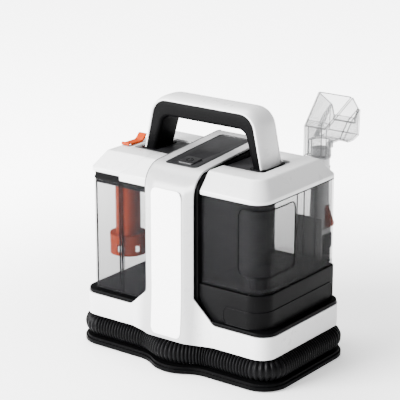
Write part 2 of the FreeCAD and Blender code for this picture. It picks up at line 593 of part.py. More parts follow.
def make_handle():
    for name, side in (("left", -1), ("right", 1)):
        near, far = sorted((side * CORE_SIDE, side * BRIDGE_REACH))
        radii = (7, 0, 0, 7) if side < 0 else (0, 7, 7, 0)
        deck = block(near, far, -BRIDGE_FRONT, BRIDGE_BACK, BRIDGE_BOTTOM, BRIDGE_TOP, *radii)
        add("handle_bridge_" + name, deck)

    def arch(shift_x, shift_z, corner, half):
        foot = HANDLE_FOOT - shift_x
        bar = HANDLE_SHOULDER - shift_x * 0.9
        top = HANDLE_TOP - shift_z
        return slab([(-foot, BRIDGE_TOP, 0), (foot, BRIDGE_TOP, 0), (bar, top, corner), (-bar, top, corner)],
                    "XZ", -half, half)
    half = HANDLE_DEPTH / 2
    outer = arch(0, 0, HANDLE_BEND, half)
    middle = arch(HANDLE_SKIN, HANDLE_SKIN, HANDLE_BEND - HANDLE_SKIN, half + 1)
    inner = arch(HANDLE_LEG, HANDLE_BAR, HANDLE_INNER_BEND, half + 1)
    add("handle_shell", outer.cut(middle))
    add("handle_grip", arch(HANDLE_SKIN, HANDLE_SKIN, HANDLE_BEND - HANDLE_SKIN, half - 1.5).cut(inner))
    screws = [cylinder(side * (BRIDGE_REACH - 5), BRIDGE_BACK - 6, BRIDGE_TOP - 4, SCREW_RADIUS - 0.8, 4.4)
              for side in (-1, 1)]
    for name, side in (("left", 0), ("right", 1)):
        node = "handle_bridge_" + name
        pieces[node] = pieces[node].cut(screws[side])
    add("handle_screws", Part.makeCompound(screws))


# ---- tanks ---------------------------------------------------------------------------------------
def make_dirty_tank():
    far = -DIRTY_OUTER
    near = -TANK_INNER
    deep = DIRTY_DEPTH / 2
    corners = DIRTY_CORNERS
    inner_corners = [max(corner - TANK_WALL, 0.5) for corner in corners]
    tank = block(far, near, -deep, deep, DIRTY_BOTTOM, DIRTY_TOP, *corners)
    tank = tank.cut(block(far + TANK_WALL, near - TANK_WALL, TANK_WALL - deep, deep - TANK_WALL,
                          DIRTY_BOTTOM + TANK_WALL, DIRTY_TOP, *inner_corners))
    port = cylinder(near - TANK_WALL - 1, INLET_Y, INLET_Z, INLET_RADIUS - 2, TANK_WALL + 2, Vector(1, 0, 0))
    tank = tank.cut(port)
    rib = block(RIB_X, RIB_X + 3, TANK_WALL - deep, TANK_WALL - deep + 5, DIRTY_BOTTOM + TANK_WALL,
                DIRTY_TOP - LID_PLUG - 1)
    add("dirty_tank", tank.fuse(rib))
    ring = block(far, near, -deep, deep, DIRTY_TOP, DIRTY_TOP + SEAL, *corners)
    ring = ring.cut(block(far + TANK_WALL, near - TANK_WALL, TANK_WALL - deep, deep - TANK_WALL,
                          DIRTY_TOP, DIRTY_TOP + SEAL, *inner_corners))
    add("dirty_tank_seal", ring)
    lid = block(far, near, -deep, deep, DIRTY_TOP + SEAL, DIRTY_LID_TOP, *corners)
    rim = block(RIM_LEDGE - CAP_OUTER, -SEAM_OUT - 1, RIM_LEDGE - CAP_HALF_DEPTH, CAP_HALF_DEPTH - RIM_LEDGE,
                DIRTY_LID_TOP, CAP_BOTTOM, 8, 0, 0, 12)
    edge = TANK_WALL + FIT
    plug = block(far + edge, near - edge, edge - deep, deep - edge, DIRTY_TOP - LID_PLUG, DIRTY_TOP + SEAL,
                 *inner_corners)
    plug = plug.cut(block(far + edge + 2, near - edge - 2, edge + 2 - deep, deep - edge - 2,
                          DIRTY_TOP - LID_PLUG, DIRTY_TOP + SEAL, 1))
    add("dirty_tank_lid", lid.fuse(rim).fuse(plug).removeSplitter())
    skirt = tube(SEPARATOR_X, SEPARATOR_Y, COLLAR_HIGH, SEPARATOR_RADIUS, 2.5, DIRTY_TOP + SEAL - COLLAR_HIGH)
    window = block(SEPARATOR_X - 5, SEPARATOR_X + 5, SEPARATOR_Y, SEPARATOR_Y + 2 * SEPARATOR_RADIUS,
                   COLLAR_HIGH + 50, COLLAR_HIGH + 75)
    add("separator_tube", skirt.cut(window))
    collar = tube(SEPARATOR_X, SEPARATOR_Y, COLLAR_LOW, COLLAR_RADIUS, 2.5, COLLAR_HIGH - COLLAR_LOW)
    floor = tube(SEPARATOR_X, SEPARATOR_Y, COLLAR_HIGH - 2.5, COLLAR_RADIUS - 1, COLLAR_RADIUS - 14, 2.5)
    collar = collar.fuse(floor)
    for step in range(6):
        slot = block(COLLAR_RADIUS - 6, COLLAR_RADIUS + 2, -4, 4, COLLAR_LOW + 6, COLLAR_LOW + 18)
        slot.rotate(Vector(0, 0, 0), Vector(0, 0, 1), step * 60 + 100)
        slot.translate(Vector(SEPARATOR_X, SEPARATOR_Y, 0))
        collar = collar.cut(slot)
    stop = tube(SEPARATOR_X, SEPARATOR_Y, COLLAR_HIGH, 16.4, 2.4, 3)
    stop = stop.fuse(block(SEPARATOR_X - 15, SEPARATOR_X + 15, SEPARATOR_Y - 1.5, SEPARATOR_Y + 1.5,
                           COLLAR_HIGH, COLLAR_HIGH + 3))
    add("separator_collar", collar.fuse(stop).removeSplitter())
    float_centre = Vector(SEPARATOR_X, SEPARATOR_Y, COLLAR_HIGH + FLOAT_RADIUS + 4)
    add("float_ball", Part.makeSphere(FLOAT_RADIUS, float_centre))
    inside = DIRTY_BOTTOM + TANK_WALL
    disc = cylinder(DRAIN_X, DRAIN_Y, inside, DRAIN_RADIUS, 4)
    add("drain_flap_seat", disc.fuse(cylinder(DRAIN_X, DRAIN_Y, inside, DRAIN_RADIUS / 2, 9)))
    ring = tube(0, 0, 0, INLET_RADIUS + 3, 5, TANK_GAP - 0.3)
    ring.rotate(Vector(0, 0, 0), Vector(0, 1, 0), 90)
    ring.translate(Vector(0.3 - TANK_INNER, INLET_Y, INLET_Z))
    add("suction_port_seal", ring)


def make_latch():
    pin_y = LATCH_FRONT + 3
    ears = []
    for x in (LATCH_X - LATCH_HALF - 2.4, LATCH_X + LATCH_HALF + 0.4):
        ear = block(x, x + 2, pin_y - 2.4, pin_y + 2.4, CAP_TOP, LATCH_PIN_Z + 1)
        ears.append(ear.fuse(cylinder(x, pin_y, LATCH_PIN_Z, 2.4, 2, Vector(1, 0, 0))))
    pin_hole = cylinder(LATCH_X - 20, pin_y, LATCH_PIN_Z, LATCH_PIN_RADIUS, 40, Vector(1, 0, 0))
    pieces["dirty_tank_cap"] = pieces["dirty_tank_cap"].fuse(ears[0]).fuse(ears[1]).cut(pin_hole)
    pin = cylinder(LATCH_X - LATCH_HALF - 2.4, pin_y, LATCH_PIN_Z, LATCH_PIN_RADIUS,
                   2 * LATCH_HALF + 4.8, Vector(1, 0, 0))
    add("latch_pin", pin)
    base = CAP_TOP + 0.6
    tip = LATCH_FRONT + LATCH_LENGTH
    scoop = slab([(pin_y, base, 0), (tip - 8, base, 12), (tip, base + 11, 0), (tip - 3, base + 11.5, 0),
                  (tip - 11, base + 3, 10), (pin_y, base + 3, 0)], "YZ",
                 LATCH_X - LATCH_HALF, LATCH_X + LATCH_HALF)
    barrel = cylinder(LATCH_X - LATCH_HALF, pin_y, LATCH_PIN_Z, 2.5, 2 * LATCH_HALF, Vector(1, 0, 0))
    bore = cylinder(LATCH_X - LATCH_HALF, pin_y, LATCH_PIN_Z, LATCH_PIN_RADIUS + SHAFT_FIT, 2 * LATCH_HALF,
                    Vector(1, 0, 0))
    add("dirty_tank_latch", scoop.fuse(barrel).cut(bore).removeSplitter())


def make_clean_tank():
    deep = CLEAN_DEPTH / 2
    top = CAP_BOTTOM - SEAL
    tank = block(TANK_INNER, CLEAN_OUTER, -deep, deep, CLEAN_BOTTOM, top, *CLEAN_CORNERS)
    inner_corners = [max(corner - TANK_WALL, 0) for corner in CLEAN_CORNERS]
    tank = tank.cut(block(TANK_INNER + TANK_WALL, CLEAN_OUTER - TANK_WALL, TANK_WALL - deep, deep - TANK_WALL,
                          CLEAN_BOTTOM + TANK_WALL, top, *inner_corners))
    tank = tank.cut(cylinder(VALVE_X, VALVE_Y, CLEAN_BOTTOM - 1, 8, TANK_WALL + 2))
    add("clean_tank", tank)
    ring = block(TANK_INNER, CLEAN_OUTER, -deep, deep, top, CAP_BOTTOM, *CLEAN_CORNERS)
    ring = ring.cut(block(TANK_INNER + TANK_WALL, CLEAN_OUTER - TANK_WALL, TANK_WALL - deep, deep - TANK_WALL,
                          top, CAP_BOTTOM, *inner_corners))
    add("clean_tank_seal", ring)
    inside = CLEAN_BOTTOM + TANK_WALL
    edge = TANK_WALL + 0.2
    foot = block(CLEAN_OUTER - 42, CLEAN_OUTER - edge, edge - deep, -30, inside, inside + 22, 12, 22, 4, 4)
    add("clean_tank_foot", foot)
    valve = cylinder(VALVE_X, VALVE_Y, CLEAN_BOTTOM, 8, TANK_WALL)
    valve = valve.fuse(cylinder(VALVE_X, VALVE_Y, inside, 11, 14))
    add("clean_tank_valve", valve.cut(cylinder(VALVE_X, VALVE_Y, CLEAN_BOTTOM, 4, 12)))


# ---- hand tool, its dock and the hose ---------------------------------------------------------
def make_tool():
    wall = 2.5
    half_x = GRIP_WIDTH / 2
    half_y = GRIP_DEPTH / 2
    grip = block(TOOL_X - half_x, TOOL_X + half_x, TOOL_Y - half_y, TOOL_Y + half_y, TOOL_BOTTOM, TOOL_TOP,
                 10)
    grip = grip.cut(block(TOOL_X - half_x + wall, TOOL_X + half_x - wall, TOOL_Y - half_y + wall,
                          TOOL_Y + half_y - wall, TOOL_BOTTOM + 4, TOOL_TOP - 3, 8))
    grip = grip.cut(cylinder(TOOL_X, TOOL_Y, TOOL_BOTTOM, 10, 4))
    grip = grip.cut(cylinder(TOOL_X, TOOL_Y, TOOL_TOP - 3, 10, 3))
    pivot = TOOL_BOTTOM + TRIGGER_PIVOT
    slot = block(TOOL_X, TOOL_X + half_x + 1, TOOL_Y - 5 - FIT, TOOL_Y + 5 + FIT, pivot - 30, pivot + 5)
    pin_x = TOOL_X + half_x - 4.5
    reach = half_y - wall
    pin = cylinder(pin_x, TOOL_Y - reach, pivot, PIN_RADIUS, 2 * reach, Vector(0, 1, 0))
    add("tool_grip", grip.cut(slot).cut(pin))
    add("trigger_pin", pin)
    edge = TOOL_X + half_x
    lever = slab([(pin_x - 3, pivot + 3.5, 0), (pin_x + 4, pivot + 3.5, 2), (edge + 10.5, pivot - 22, 3),
                  (edge + 9, pivot - 27.5, 2), (pin_x - 1, pivot - 27.5, 0)], "XZ", TOOL_Y - 5, TOOL_Y + 5)
    bore = cylinder(pin_x, TOOL_Y - 6, pivot, PIN_RADIUS + SHAFT_FIT, 12, Vector(0, 1, 0))
    add("spray_trigger", lever.cut(bore))
    valve = block(TOOL_X - half_x + wall, TOOL_X - 2, TOOL_Y - 6, TOOL_Y + 6, pivot - 24, pivot - 4, 2)
    add("spray_valve", valve)
    pipe = tube(TOOL_X, TOOL_Y, TOOL_TOP, PIPE_RADIUS, PIPE_WALL, NOZZLE_LOW - TOOL_TOP + 12)
    add("tool_pipe", pipe)
    collar = tube(TOOL_X, TOOL_Y, TOOL_BOTTOM - 20, HOSE_OD / 2 + 1.8, 1.8, 20)
    add("hose_cuff", collar)


def make_nozzle():
    front = TOOL_Y - 17
    waist = NOZZLE_LOW + NOZZLE_WAIST
    lip = NOZZLE_LOW + NOZZLE_LIP
    back = front + 83

    def plan(inset, low):
        narrow = NOZZLE_HALF - inset
        wide = MOUTH_HALF - inset
        return slab([(TOOL_X - narrow, low, 0), (TOOL_X + narrow, low, 0), (TOOL_X + narrow, waist, 0),
                     (TOOL_X + wide, lip, 0), (TOOL_X + wide, lip + 9, 0), (TOOL_X - wide, lip + 9, 0),
                     (TOOL_X - wide, lip, 0), (TOOL_X - narrow, waist, 0)], "XZ", front - 5, back + 9)

    def body(shrink):
        base = NOZZLE_LOW + shrink
        clip = block(TOOL_X - NOZZLE_HALF + shrink, TOOL_X + NOZZLE_HALF - shrink, front + shrink,
                     front + 14 - shrink, base, waist - 1)
        neck = cylinder(TOOL_X, TOOL_Y, base, NOZZLE_NECK - shrink, 30)
        side = [(front + shrink, NOZZLE_LOW + 22 + shrink, 0), (front + shrink, waist + shrink * 0.4, 0),
                (front + NOZZLE_LEAN + shrink * 0.3, lip + 2 * shrink, 0), (back + 2 * shrink, lip - 23.5, 0),
                (back - shrink, NOZZLE_LOW + 40, 0), (front + 60, NOZZLE_LOW + 22 + shrink, 0)]
        head = slab(side, "YZ", TOOL_X - MOUTH_HALF, TOOL_X + MOUTH_HALF).common(plan(shrink, NOZZLE_LOW - 5))
        heel = slab([(front + 38 + shrink, NOZZLE_LOW + 22 + shrink, 0), (front + 62, waist + 4 - shrink, 0),
                     (back - shrink, lip - 24, 0), (back - 1.5 - shrink, NOZZLE_LOW + 22 + shrink, 0),
                     (front + 66, NOZZLE_LOW + 17 + shrink, 0), (front + 50, NOZZLE_LOW + 17 + shrink, 0)],
                    "YZ", TOOL_X - 27 + shrink, TOOL_X + 27 - shrink)
        return clip.fuse(neck).fuse(head).fuse(heel).removeSplitter()
    whole = body(0)
    nozzle = whole.cut(body(NOZZLE_WALL))
    nozzle = nozzle.cut(cylinder(TOOL_X, TOOL_Y, NOZZLE_LOW - 1, PIPE_RADIUS, NOZZLE_WALL + 2))
    add("suction_nozzle", solid_only(nozzle))
    run = math.hypot(NOZZLE_LEAN, lip - waist)
    out_y = -(lip - waist) / run * PLATE_SKIN
    out_z = NOZZLE_LEAN / run * PLATE_SKIN
    top = front + NOZZLE_LEAN
    plate = slab([(front, waist, 0), (top, lip, 0), (top + out_y, lip + out_z, 0),
                  (front + out_y, waist + out_z, 0)], "YZ", TOOL_X - MOUTH_HALF, TOOL_X + MOUTH_HALF)
    clip = block(TOOL_X - 12, TOOL_X + 12, front - PLATE_SKIN, front, NOZZLE_LOW + 2, waist + 2)
    window = plate.common(plan(3.0, waist)).fuse(clip).cut(whole)
    add("nozzle_window", window.removeSplitter())
    add("spray_tip", cylinder(TOOL_X, front + 44, NOZZLE_LOW + 7, 4, 10))


def make_dock():
    face = CAP_HALF_DEPTH + 1.2
    half = GRIP_WIDTH / 2 + 4
    back = block(TOOL_X - half - 6, TOOL_X + half + 6, face, face + 3, DECK_TOP, TOOL_BOTTOM + 34, 0)
    low = TOOL_BOTTOM + 4
    high = TOOL_BOTTOM + TRIGGER_PIVOT - 30
    cup = block(TOOL_X - half, TOOL_X + half, face + 3, TOOL_Y + 9, low, high, 0, 0, 6, 6)
    room = block(TOOL_X - GRIP_WIDTH / 2, TOOL_X + GRIP_WIDTH / 2, TOOL_Y - GRIP_DEPTH / 2,
                 TOOL_Y + GRIP_DEPTH, low, high, 10, 10, 0, 0)
    add("tool_dock", back.fuse(cup.cut(room)).removeSplitter())


def make_hose():
    socket_end = SOCKET_X + SOCKET_LENGTH
    socket = block(SOCKET_X, socket_end, CHANNEL_Y, HALF_FOOT_Y - 0.5, PLATE_TOP, SKIRT_BOTTOM, 0, 0, 6, 6)
    bore = cylinder(SOCKET_X + 14, HOSE_Y, HOSE_Z, HOSE_OD / 2 - 4, SOCKET_LENGTH, Vector(1, 0, 0))
    add("hose_socket", socket.cut(bore))
    swing_x = -CHANNEL_X / 2
    spots = [(socket_end, HOSE_Y, HOSE_Z, 0), (HOSE_X, HOSE_Y, HOSE_Z, HOSE_TURN),
             (HOSE_X, -HOSE_Y, HOSE_Z, HOSE_TURN), (-HOSE_X, -HOSE_Y, HOSE_Z, HOSE_TURN),
             (-HOSE_X, HOSE_Y, HOSE_Z, HOSE_TURN), (swing_x, HOSE_Y, HOSE_Z, SWING_RADIUS),
             (swing_x + 75, TOOL_Y, HOSE_Z, SWING_RADIUS), (TOOL_X, TOOL_Y, HOSE_Z, RISE_RADIUS),
             (TOOL_X, TOOL_Y, TOOL_BOTTOM, 0)]
    first_left = 3              # the swelling lies on the run that leads to this corner
    edges = []
    here = Vector(*spots[0][:3])
    for index, spot in enumerate(spots[1:-1], 1):
        if index == first_left:
            edges.append(Part.LineSegment(here, Vector(BULGE_X + BULGE_HALF, -HOSE_Y, HOSE_Z)).toShape())
            edges.extend(reversed(swelling(FOOT_BULGE - 1, HOSE_Z, HOSE_Y)))
            here = Vector(BULGE_X - BULGE_HALF, -HOSE_Y, HOSE_Z)
        point = Vector(*spot[:3])
        radius = spot[3]
        before = Vector(*spots[index - 1][:3]) - point
        after = Vector(*spots[index + 1][:3]) - point
        half = before.getAngle(after) / 2
        before.normalize()
        after.normalize()
        run = radius / math.tan(half)
        middle = before + after
        middle.normalize()
        start = point + before * run
        end = point + after * run
        top = point + middle * (radius / math.sin(half) - radius)
        edges.append(Part.LineSegment(here, start).toShape())
        edges.append(Part.Arc(start, top, end).toShape())
        here = end
        print("hose arc radius", radius, "turn", round(180 - math.degrees(2 * half), 1))
    edges.append(Part.LineSegment(here, Vector(*spots[-1][:3])).toShape())
    path = Part.Wire(Part.__sortEdges__(edges))
    first = Vector(*spots[0][:3])
    section = Part.Wire(Part.makeCircle(HOSE_OD / 2, first, Vector(1, 0, 0)))
    hose = path.makePipeShell([section], True, False)
    print("hose length", round(path.Length, 1), "volume error",
          round(hose.Volume / (math.pi * HOSE_OD ** 2 / 4 * path.Length) - 1, 5))
    add("suction_hose", hose)


# ---- build, centre and write --------------------------------------------------------------------
def main():
    make_foot_plate()
    make_channel()
    make_skirt()
    make_column()
    make_motor()
    make_pump()
    make_exhaust()
    make_decks()
    make_caps()
    make_handle()
    make_dirty_tank()
    make_latch()
    make_clean_tank()
    make_tool()
    make_nozzle()
    make_dock()
    make_hose()
    os.makedirs("parts", exist_ok=True)
    whole = FreeCAD.BoundBox()
    for shape in pieces.values():
        whole.add(shape.optimalBoundingBox(False, False))
    move = Vector(-whole.Center.x, -whole.Center.y, -whole.ZMin)
    print("moved by", move, "box", whole.XLength, whole.YLength, whole.ZLength)
    for name, shape in pieces.items():
        placed = shape.translated(move)
        if not placed.isValid():
            print("not valid:", name)
        placed.exportStep("parts/" + name + ".step")
    print(len(pieces), "pieces")


main()
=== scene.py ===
"""Looks of the portable carpet cleaner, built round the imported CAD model. Metres throughout."""
import bmesh
import bpy
import json
import math
from mathutils import Matrix, Vector

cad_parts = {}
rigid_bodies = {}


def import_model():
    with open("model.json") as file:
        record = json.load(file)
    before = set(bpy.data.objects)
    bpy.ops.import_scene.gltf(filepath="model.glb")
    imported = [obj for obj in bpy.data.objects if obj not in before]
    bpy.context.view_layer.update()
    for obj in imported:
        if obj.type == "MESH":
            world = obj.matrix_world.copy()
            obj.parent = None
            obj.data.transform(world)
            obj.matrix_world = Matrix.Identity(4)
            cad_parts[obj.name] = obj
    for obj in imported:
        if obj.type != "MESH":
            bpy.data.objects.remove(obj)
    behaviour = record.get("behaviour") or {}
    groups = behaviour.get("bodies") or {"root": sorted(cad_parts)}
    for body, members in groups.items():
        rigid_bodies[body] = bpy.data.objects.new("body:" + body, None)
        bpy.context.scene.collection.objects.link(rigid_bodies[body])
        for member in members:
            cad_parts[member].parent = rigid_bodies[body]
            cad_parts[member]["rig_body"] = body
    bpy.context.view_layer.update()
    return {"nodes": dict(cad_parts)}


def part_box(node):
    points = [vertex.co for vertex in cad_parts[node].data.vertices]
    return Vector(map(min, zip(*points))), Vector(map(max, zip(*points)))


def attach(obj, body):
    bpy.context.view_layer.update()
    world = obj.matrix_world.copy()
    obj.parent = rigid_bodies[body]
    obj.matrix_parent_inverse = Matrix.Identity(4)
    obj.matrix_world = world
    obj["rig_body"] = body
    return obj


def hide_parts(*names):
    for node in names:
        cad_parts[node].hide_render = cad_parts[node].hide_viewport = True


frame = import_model()

MM = 0.001
LEFT, RIGHT = -1, 1
BODIES = {node: part["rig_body"] for node, part in frame["nodes"].items()}


def middle(node, axis):
    low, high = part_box(node)
    return (low[axis] + high[axis]) / 2


MID_Y = middle("handle_shell", 1)


# ---- camera and light ---------------------------------------------------------------------------
CAMERA_AZIMUTH = math.radians(36.97)
CAMERA_ELEVATION = math.radians(17.26)
CAMERA_AIM = Vector((-0.0227, MID_Y, 0.2295))
CAMERA_DISTANCE = 2.4235
LENS_LENGTH = 145.1


def make_camera():
    level = math.cos(CAMERA_ELEVATION)
    back = Vector((math.sin(CAMERA_AZIMUTH) * level, -math.cos(CAMERA_AZIMUTH) * level,
                   math.sin(CAMERA_ELEVATION)))
    data = bpy.data.cameras.new("view")
    data.lens = LENS_LENGTH
    data.sensor_width = 36.0
    data.clip_end = 60.0
    camera = bpy.data.objects.new("view", data)
    bpy.context.scene.collection.objects.link(camera)
    camera.location = CAMERA_AIM + back * CAMERA_DISTANCE
    camera.rotation_euler = back.to_track_quat("Z", "Y").to_euler()
    bpy.context.scene.camera = camera


def softbox(name, place, width, height, power):
    data = bpy.data.lights.new(name, "AREA")
    data.shape = "RECTANGLE"
    data.size = width
    data.size_y = height
    data.energy = power
    light = bpy.data.objects.new(name, data)
    bpy.context.scene.collection.objects.link(light)
    light.location = place
    light.rotation_euler = (Vector(place) - Vector((0, MID_Y, 0.2))).to_track_quat("Z", "Y").to_euler()


def make_lights():
    world = bpy.data.worlds.new("studio")
    world.use_nodes = True
    world.node_tree.nodes["Background"].inputs["Color"].default_value = (1, 1, 1, 1)
    world.node_tree.nodes["Background"].inputs["Strength"].default_value = 0.35
    bpy.context.scene.world = world
    softbox("key", (-1.15, MID_Y - 2.3, 1.15), width=1.7, height=1.5, power=480)
    softbox("top", (-0.75, MID_Y + 0.3, 2.3), width=1.8, height=1.4, power=120)


# ---- shader kit -----------------------------------------------------------------------------------
class Wire:
    """A node's output that can be used in sums."""

    def __init__(self, paint, socket):
        self.paint = paint
        self.socket = socket

    def maths(self, operation, first, second=None):
        inputs = {0: first} if second is None else {0: first, 1: second}
        return self.paint.node("ShaderNodeMath", {"operation": operation}, inputs)

    def __add__(self, other):
        return self.maths("ADD", self, other)

    def __radd__(self, other):
        return self.maths("ADD", other, self)

    def __sub__(self, other):
        return self.maths("SUBTRACT", self, other)

    def __rsub__(self, other):
        return self.maths("SUBTRACT", other, self)

    def __mul__(self, other):
        return self.maths("MULTIPLY", self, other)

    def __rmul__(self, other):
        return self.maths("MULTIPLY", other, self)

    def __pow__(self, other):
        return self.maths("POWER", self, other)


class Paint:
    """One material and the nodes in it."""

    def __init__(self, name):
        self.material = bpy.data.materials.new(name)
        self.material.use_nodes = True
        self.tree = self.material.node_tree
        self.tree.nodes.clear()
        self.output = self.tree.nodes.new("ShaderNodeOutputMaterial")

    def node(self, kind, settings=None, inputs=None, output=0):
        made = self.tree.nodes.new(kind)
        for key, value in (settings or {}).items():
            setattr(made, key, value)
        for key, value in (inputs or {}).items():
            socket = made.inputs[key]
            if isinstance(value, Wire):
                self.tree.links.new(value.socket, socket)
            else:
                socket.default_value = value
        return Wire(self, made.outputs[output])

    def place(self):
        return self.node("ShaderNodeTexCoord", output="Object")

    def noise(self, scale, detail=2.0, roughness=0.5, stretch=(1, 1, 1)):
        spot = self.node("ShaderNodeMapping", {}, {"Vector": self.place(), "Scale": stretch})
        return self.node("ShaderNodeTexNoise", {}, {"Vector": spot, "Scale": scale, "Detail": detail,
                                                   "Roughness": roughness})

    def tint(self, factor, low, high):
        """Mixes two colours, each a colour or a wire."""
        low, high = [end if isinstance(end, Wire) else (*end, 1) for end in (low, high)]
        return self.node("ShaderNodeMix", {"data_type": "RGBA"}, {0: factor, 6: low, 7: high}, output=2)

    def ramp(self, wire, start, end, low, high, kind="LINEAR"):
        return self.node("ShaderNodeMapRange", {"interpolation_type": kind}, {
            "Value": wire, "From Min": start, "From Max": end, "To Min": low, "To Max": high})

    def spread(self, noise, low, high):
        """Stretches the middle of a noise from low to high."""
        return self.ramp(noise, 0.3, 0.7, low, high)

    def bump(self, height, strength, distance):
        return self.node("ShaderNodeBump", {}, {"Height": height, "Strength": strength, "Distance": distance})

    def finish(self, shader):
        self.tree.links.new(shader.socket, self.output.inputs["Surface"])
        return self.material


def edge_wear(paint, amount):
    """Light scuffing where an edge stands out, from the mesh's own curvature."""
    point = paint.node("ShaderNodeNewGeometry", output="Pointiness")
    patches = paint.spread(paint.noise(60, 4), 0.0, 1.0)
    return paint.ramp(point, 0.52, 0.62, 0.0, amount) * patches


def moulded(name, colour, lighter, rough, grain_scale, grain_depth, coat=0.0, metallic=0.0, wear=0.25,
            shine=0.5, painted_shade_band=None):
    """Moulded plastic: colour drift, uneven gloss, fine grain and slight edge wear.

    The last argument, if given, paints shade: a darker band along the centre plane for the shade on the
    slopes beside the front strip, given as where it starts to fade, where it ends, and its colour."""
    paint = Paint(name)
    drift = paint.spread(paint.noise(9, 3), 0.0, 0.6)
    shade = paint.tint(drift + edge_wear(paint, wear), colour, lighter)
    # Painted shade: darkens the colour in a band near the centre plane, standing for the shade on the slopes
    # beside the front strip.
    if painted_shade_band:
        fade_start, fade_end, painted_shade_colour = painted_shade_band
        across = paint.node("ShaderNodeSeparateXYZ", {}, {0: paint.place()}, output="X")
        near = paint.ramp(across.maths("ABSOLUTE", across), fade_start, fade_end, 1.0, 0.0, "SMOOTHSTEP")
        shade = paint.tint(near, shade, painted_shade_colour)
    gloss = paint.spread(paint.noise(35, 5, 0.6), rough * 0.85, rough * 1.18)
    grain = paint.noise(grain_scale, 2, 0.5)
    shader = paint.node("ShaderNodeBsdfPrincipled", {}, {
        "Base Color": shade, "Roughness": gloss, "Metallic": metallic, "Coat Weight": coat,
        "Coat Roughness": 0.08, "Specular IOR Level": shine, "Normal": paint.bump(grain, 0.35, grain_depth)})
    return paint.finish(shader)


def see_through(name, colour, face_on, edge_on, rough=0.06, streak=0.02, shine=0.5):
    """Clear moulding: faint face on and denser along its edges, with faint flow streaks."""
    paint = Paint(name)
    facing = paint.node("ShaderNodeLayerWeight", {}, {"Blend": 0.35}, output="Facing")
    streaks = paint.spread(paint.noise(14, 3, 0.5, (1, 1, 0.15)), -streak, streak)
    cover = face_on + (edge_on - face_on) * (facing ** 2.2) + streaks
    gloss = paint.spread(paint.noise(12, 2), rough * 0.85, rough * 1.15)
    drift = paint.spread(paint.noise(11, 2), 0.0, 0.5)
    wave = paint.noise(9, 1)
    shader = paint.node("ShaderNodeBsdfPrincipled", {}, {
        "Base Color": paint.tint(drift, colour, [share * 1.15 for share in colour]),
        "Roughness": gloss, "Alpha": cover, "Specular IOR Level": shine,
        "Normal": paint.bump(wave, 0.04, 0.0004)})
    return paint.finish(shader)


def make_floor_paint():
    """White studio floor that glows further off, most behind and to the left of the machine."""
    paint = Paint("studio_floor")
    speck = paint.spread(paint.noise(3, 2), 0.0, 0.4)
    away = paint.node("ShaderNodeVectorMath", {"operation": "LENGTH"}, {0: paint.place()}, output="Value")
    behind = paint.node("ShaderNodeVectorMath", {"operation": "DOT_PRODUCT"},
                        {0: paint.place(), 1: (-0.8, 0.6, 0)}, output="Value")
    glow = (paint.ramp(away, 0.2, 1.0, 0.0, 1.0, "SMOOTHSTEP")
            * paint.ramp(behind, -0.6, 0.7, 0.3, 1.0, "SMOOTHSTEP"))
    shader = paint.node("ShaderNodeBsdfPrincipled", {}, {
        "Base Color": paint.tint(speck, (0.93, 0.93, 0.93), (0.96, 0.96, 0.96)), "Roughness": 0.6,
        "Emission Color": paint.tint(glow, (0.14, 0.14, 0.14), (1, 1, 1)), "Emission Strength": 5.5})
    return paint.finish(shader)


def make_steel():
    paint = Paint("zinc_steel")
    brushed = paint.noise(90, 3, 0.6, (1, 1, 6))
    shader = paint.node("ShaderNodeBsdfPrincipled", {}, {
        "Base Color": paint.tint(paint.spread(brushed, 0, 1), (0.5, 0.5, 0.52), (0.72, 0.72, 0.74)),
        "Metallic": 1.0, "Roughness": paint.spread(brushed, 0.25, 0.42)})
    return paint.finish(shader)


def make_board_paint():
    paint = Paint("circuit_board")
    tracks = paint.node("ShaderNodeTexVoronoi", {"feature": "DISTANCE_TO_EDGE"},
                        {"Vector": paint.place(), "Scale": 180.0})
    copper = paint.node("ShaderNodeMath", {"operation": "LESS_THAN"}, {0: tracks, 1: 0.06})
    shader = paint.node("ShaderNodeBsdfPrincipled", {}, {
        "Base Color": paint.tint(copper, (0.02, 0.16, 0.07), (0.3, 0.42, 0.15)), "Roughness": 0.4})
    return paint.finish(shader)


def make_foam_paint():
    paint = Paint("filter_foam")
    cells = paint.node("ShaderNodeTexVoronoi", {}, {"Vector": paint.place(), "Scale": 420.0})
    shader = paint.node("ShaderNodeBsdfPrincipled", {}, {
        "Base Color": paint.tint(cells, (0.015, 0.015, 0.017), (0.07, 0.07, 0.075)), "Roughness": 0.95,
        "Normal": paint.bump(cells, 0.8, 0.001)})
    return paint.finish(shader)


WHITE = moulded("white_abs", (0.55, 0.55, 0.555), (0.63, 0.63, 0.63), 0.3, 900, 0.00006, coat=0.12)
# The body's white carries painted shade: darker within 42 mm of the centre plane, fading out by 68 mm, beside
# the front strip.
BODY_WHITE_WITH_SHADE = moulded("body_white_painted_shade", (0.58, 0.58, 0.585), (0.66, 0.66, 0.66), 0.3, 900, 0.00006, coat=0.15,
                     painted_shade_band=(0.042, 0.068, (0.33, 0.33, 0.334)))
BRIGHT = moulded("bright_white_strip", (0.90, 0.90, 0.90), (0.94, 0.94, 0.94), 0.26, 900, 0.00005, coat=0.3)
BLACK = moulded("black_abs", (0.001, 0.001, 0.0011), (0.0024, 0.0024, 0.0026), 0.38, 1500, 0.0001, shine=0.02)
BAY_BLACK = moulded("bay_black", (0.0012, 0.0012, 0.0013), (0.003, 0.003, 0.0033), 0.33, 1500, 0.0001,
                    shine=0.03)
GLOSS_BLACK = moulded("black_gloss", (0.001, 0.001, 0.0012), (0.0025, 0.0025, 0.003), 0.2, 600, 0.00004,
                      shine=0.04)
GREY = moulded("grey_metallic", (0.013, 0.013, 0.014), (0.024, 0.024, 0.026), 0.32, 1400, 0.00005,
               metallic=0.35, shine=0.22)
PALE = moulded("pale_grey_abs", (0.50, 0.50, 0.51), (0.58, 0.58, 0.59), 0.4, 1200, 0.00008, coat=0.1)
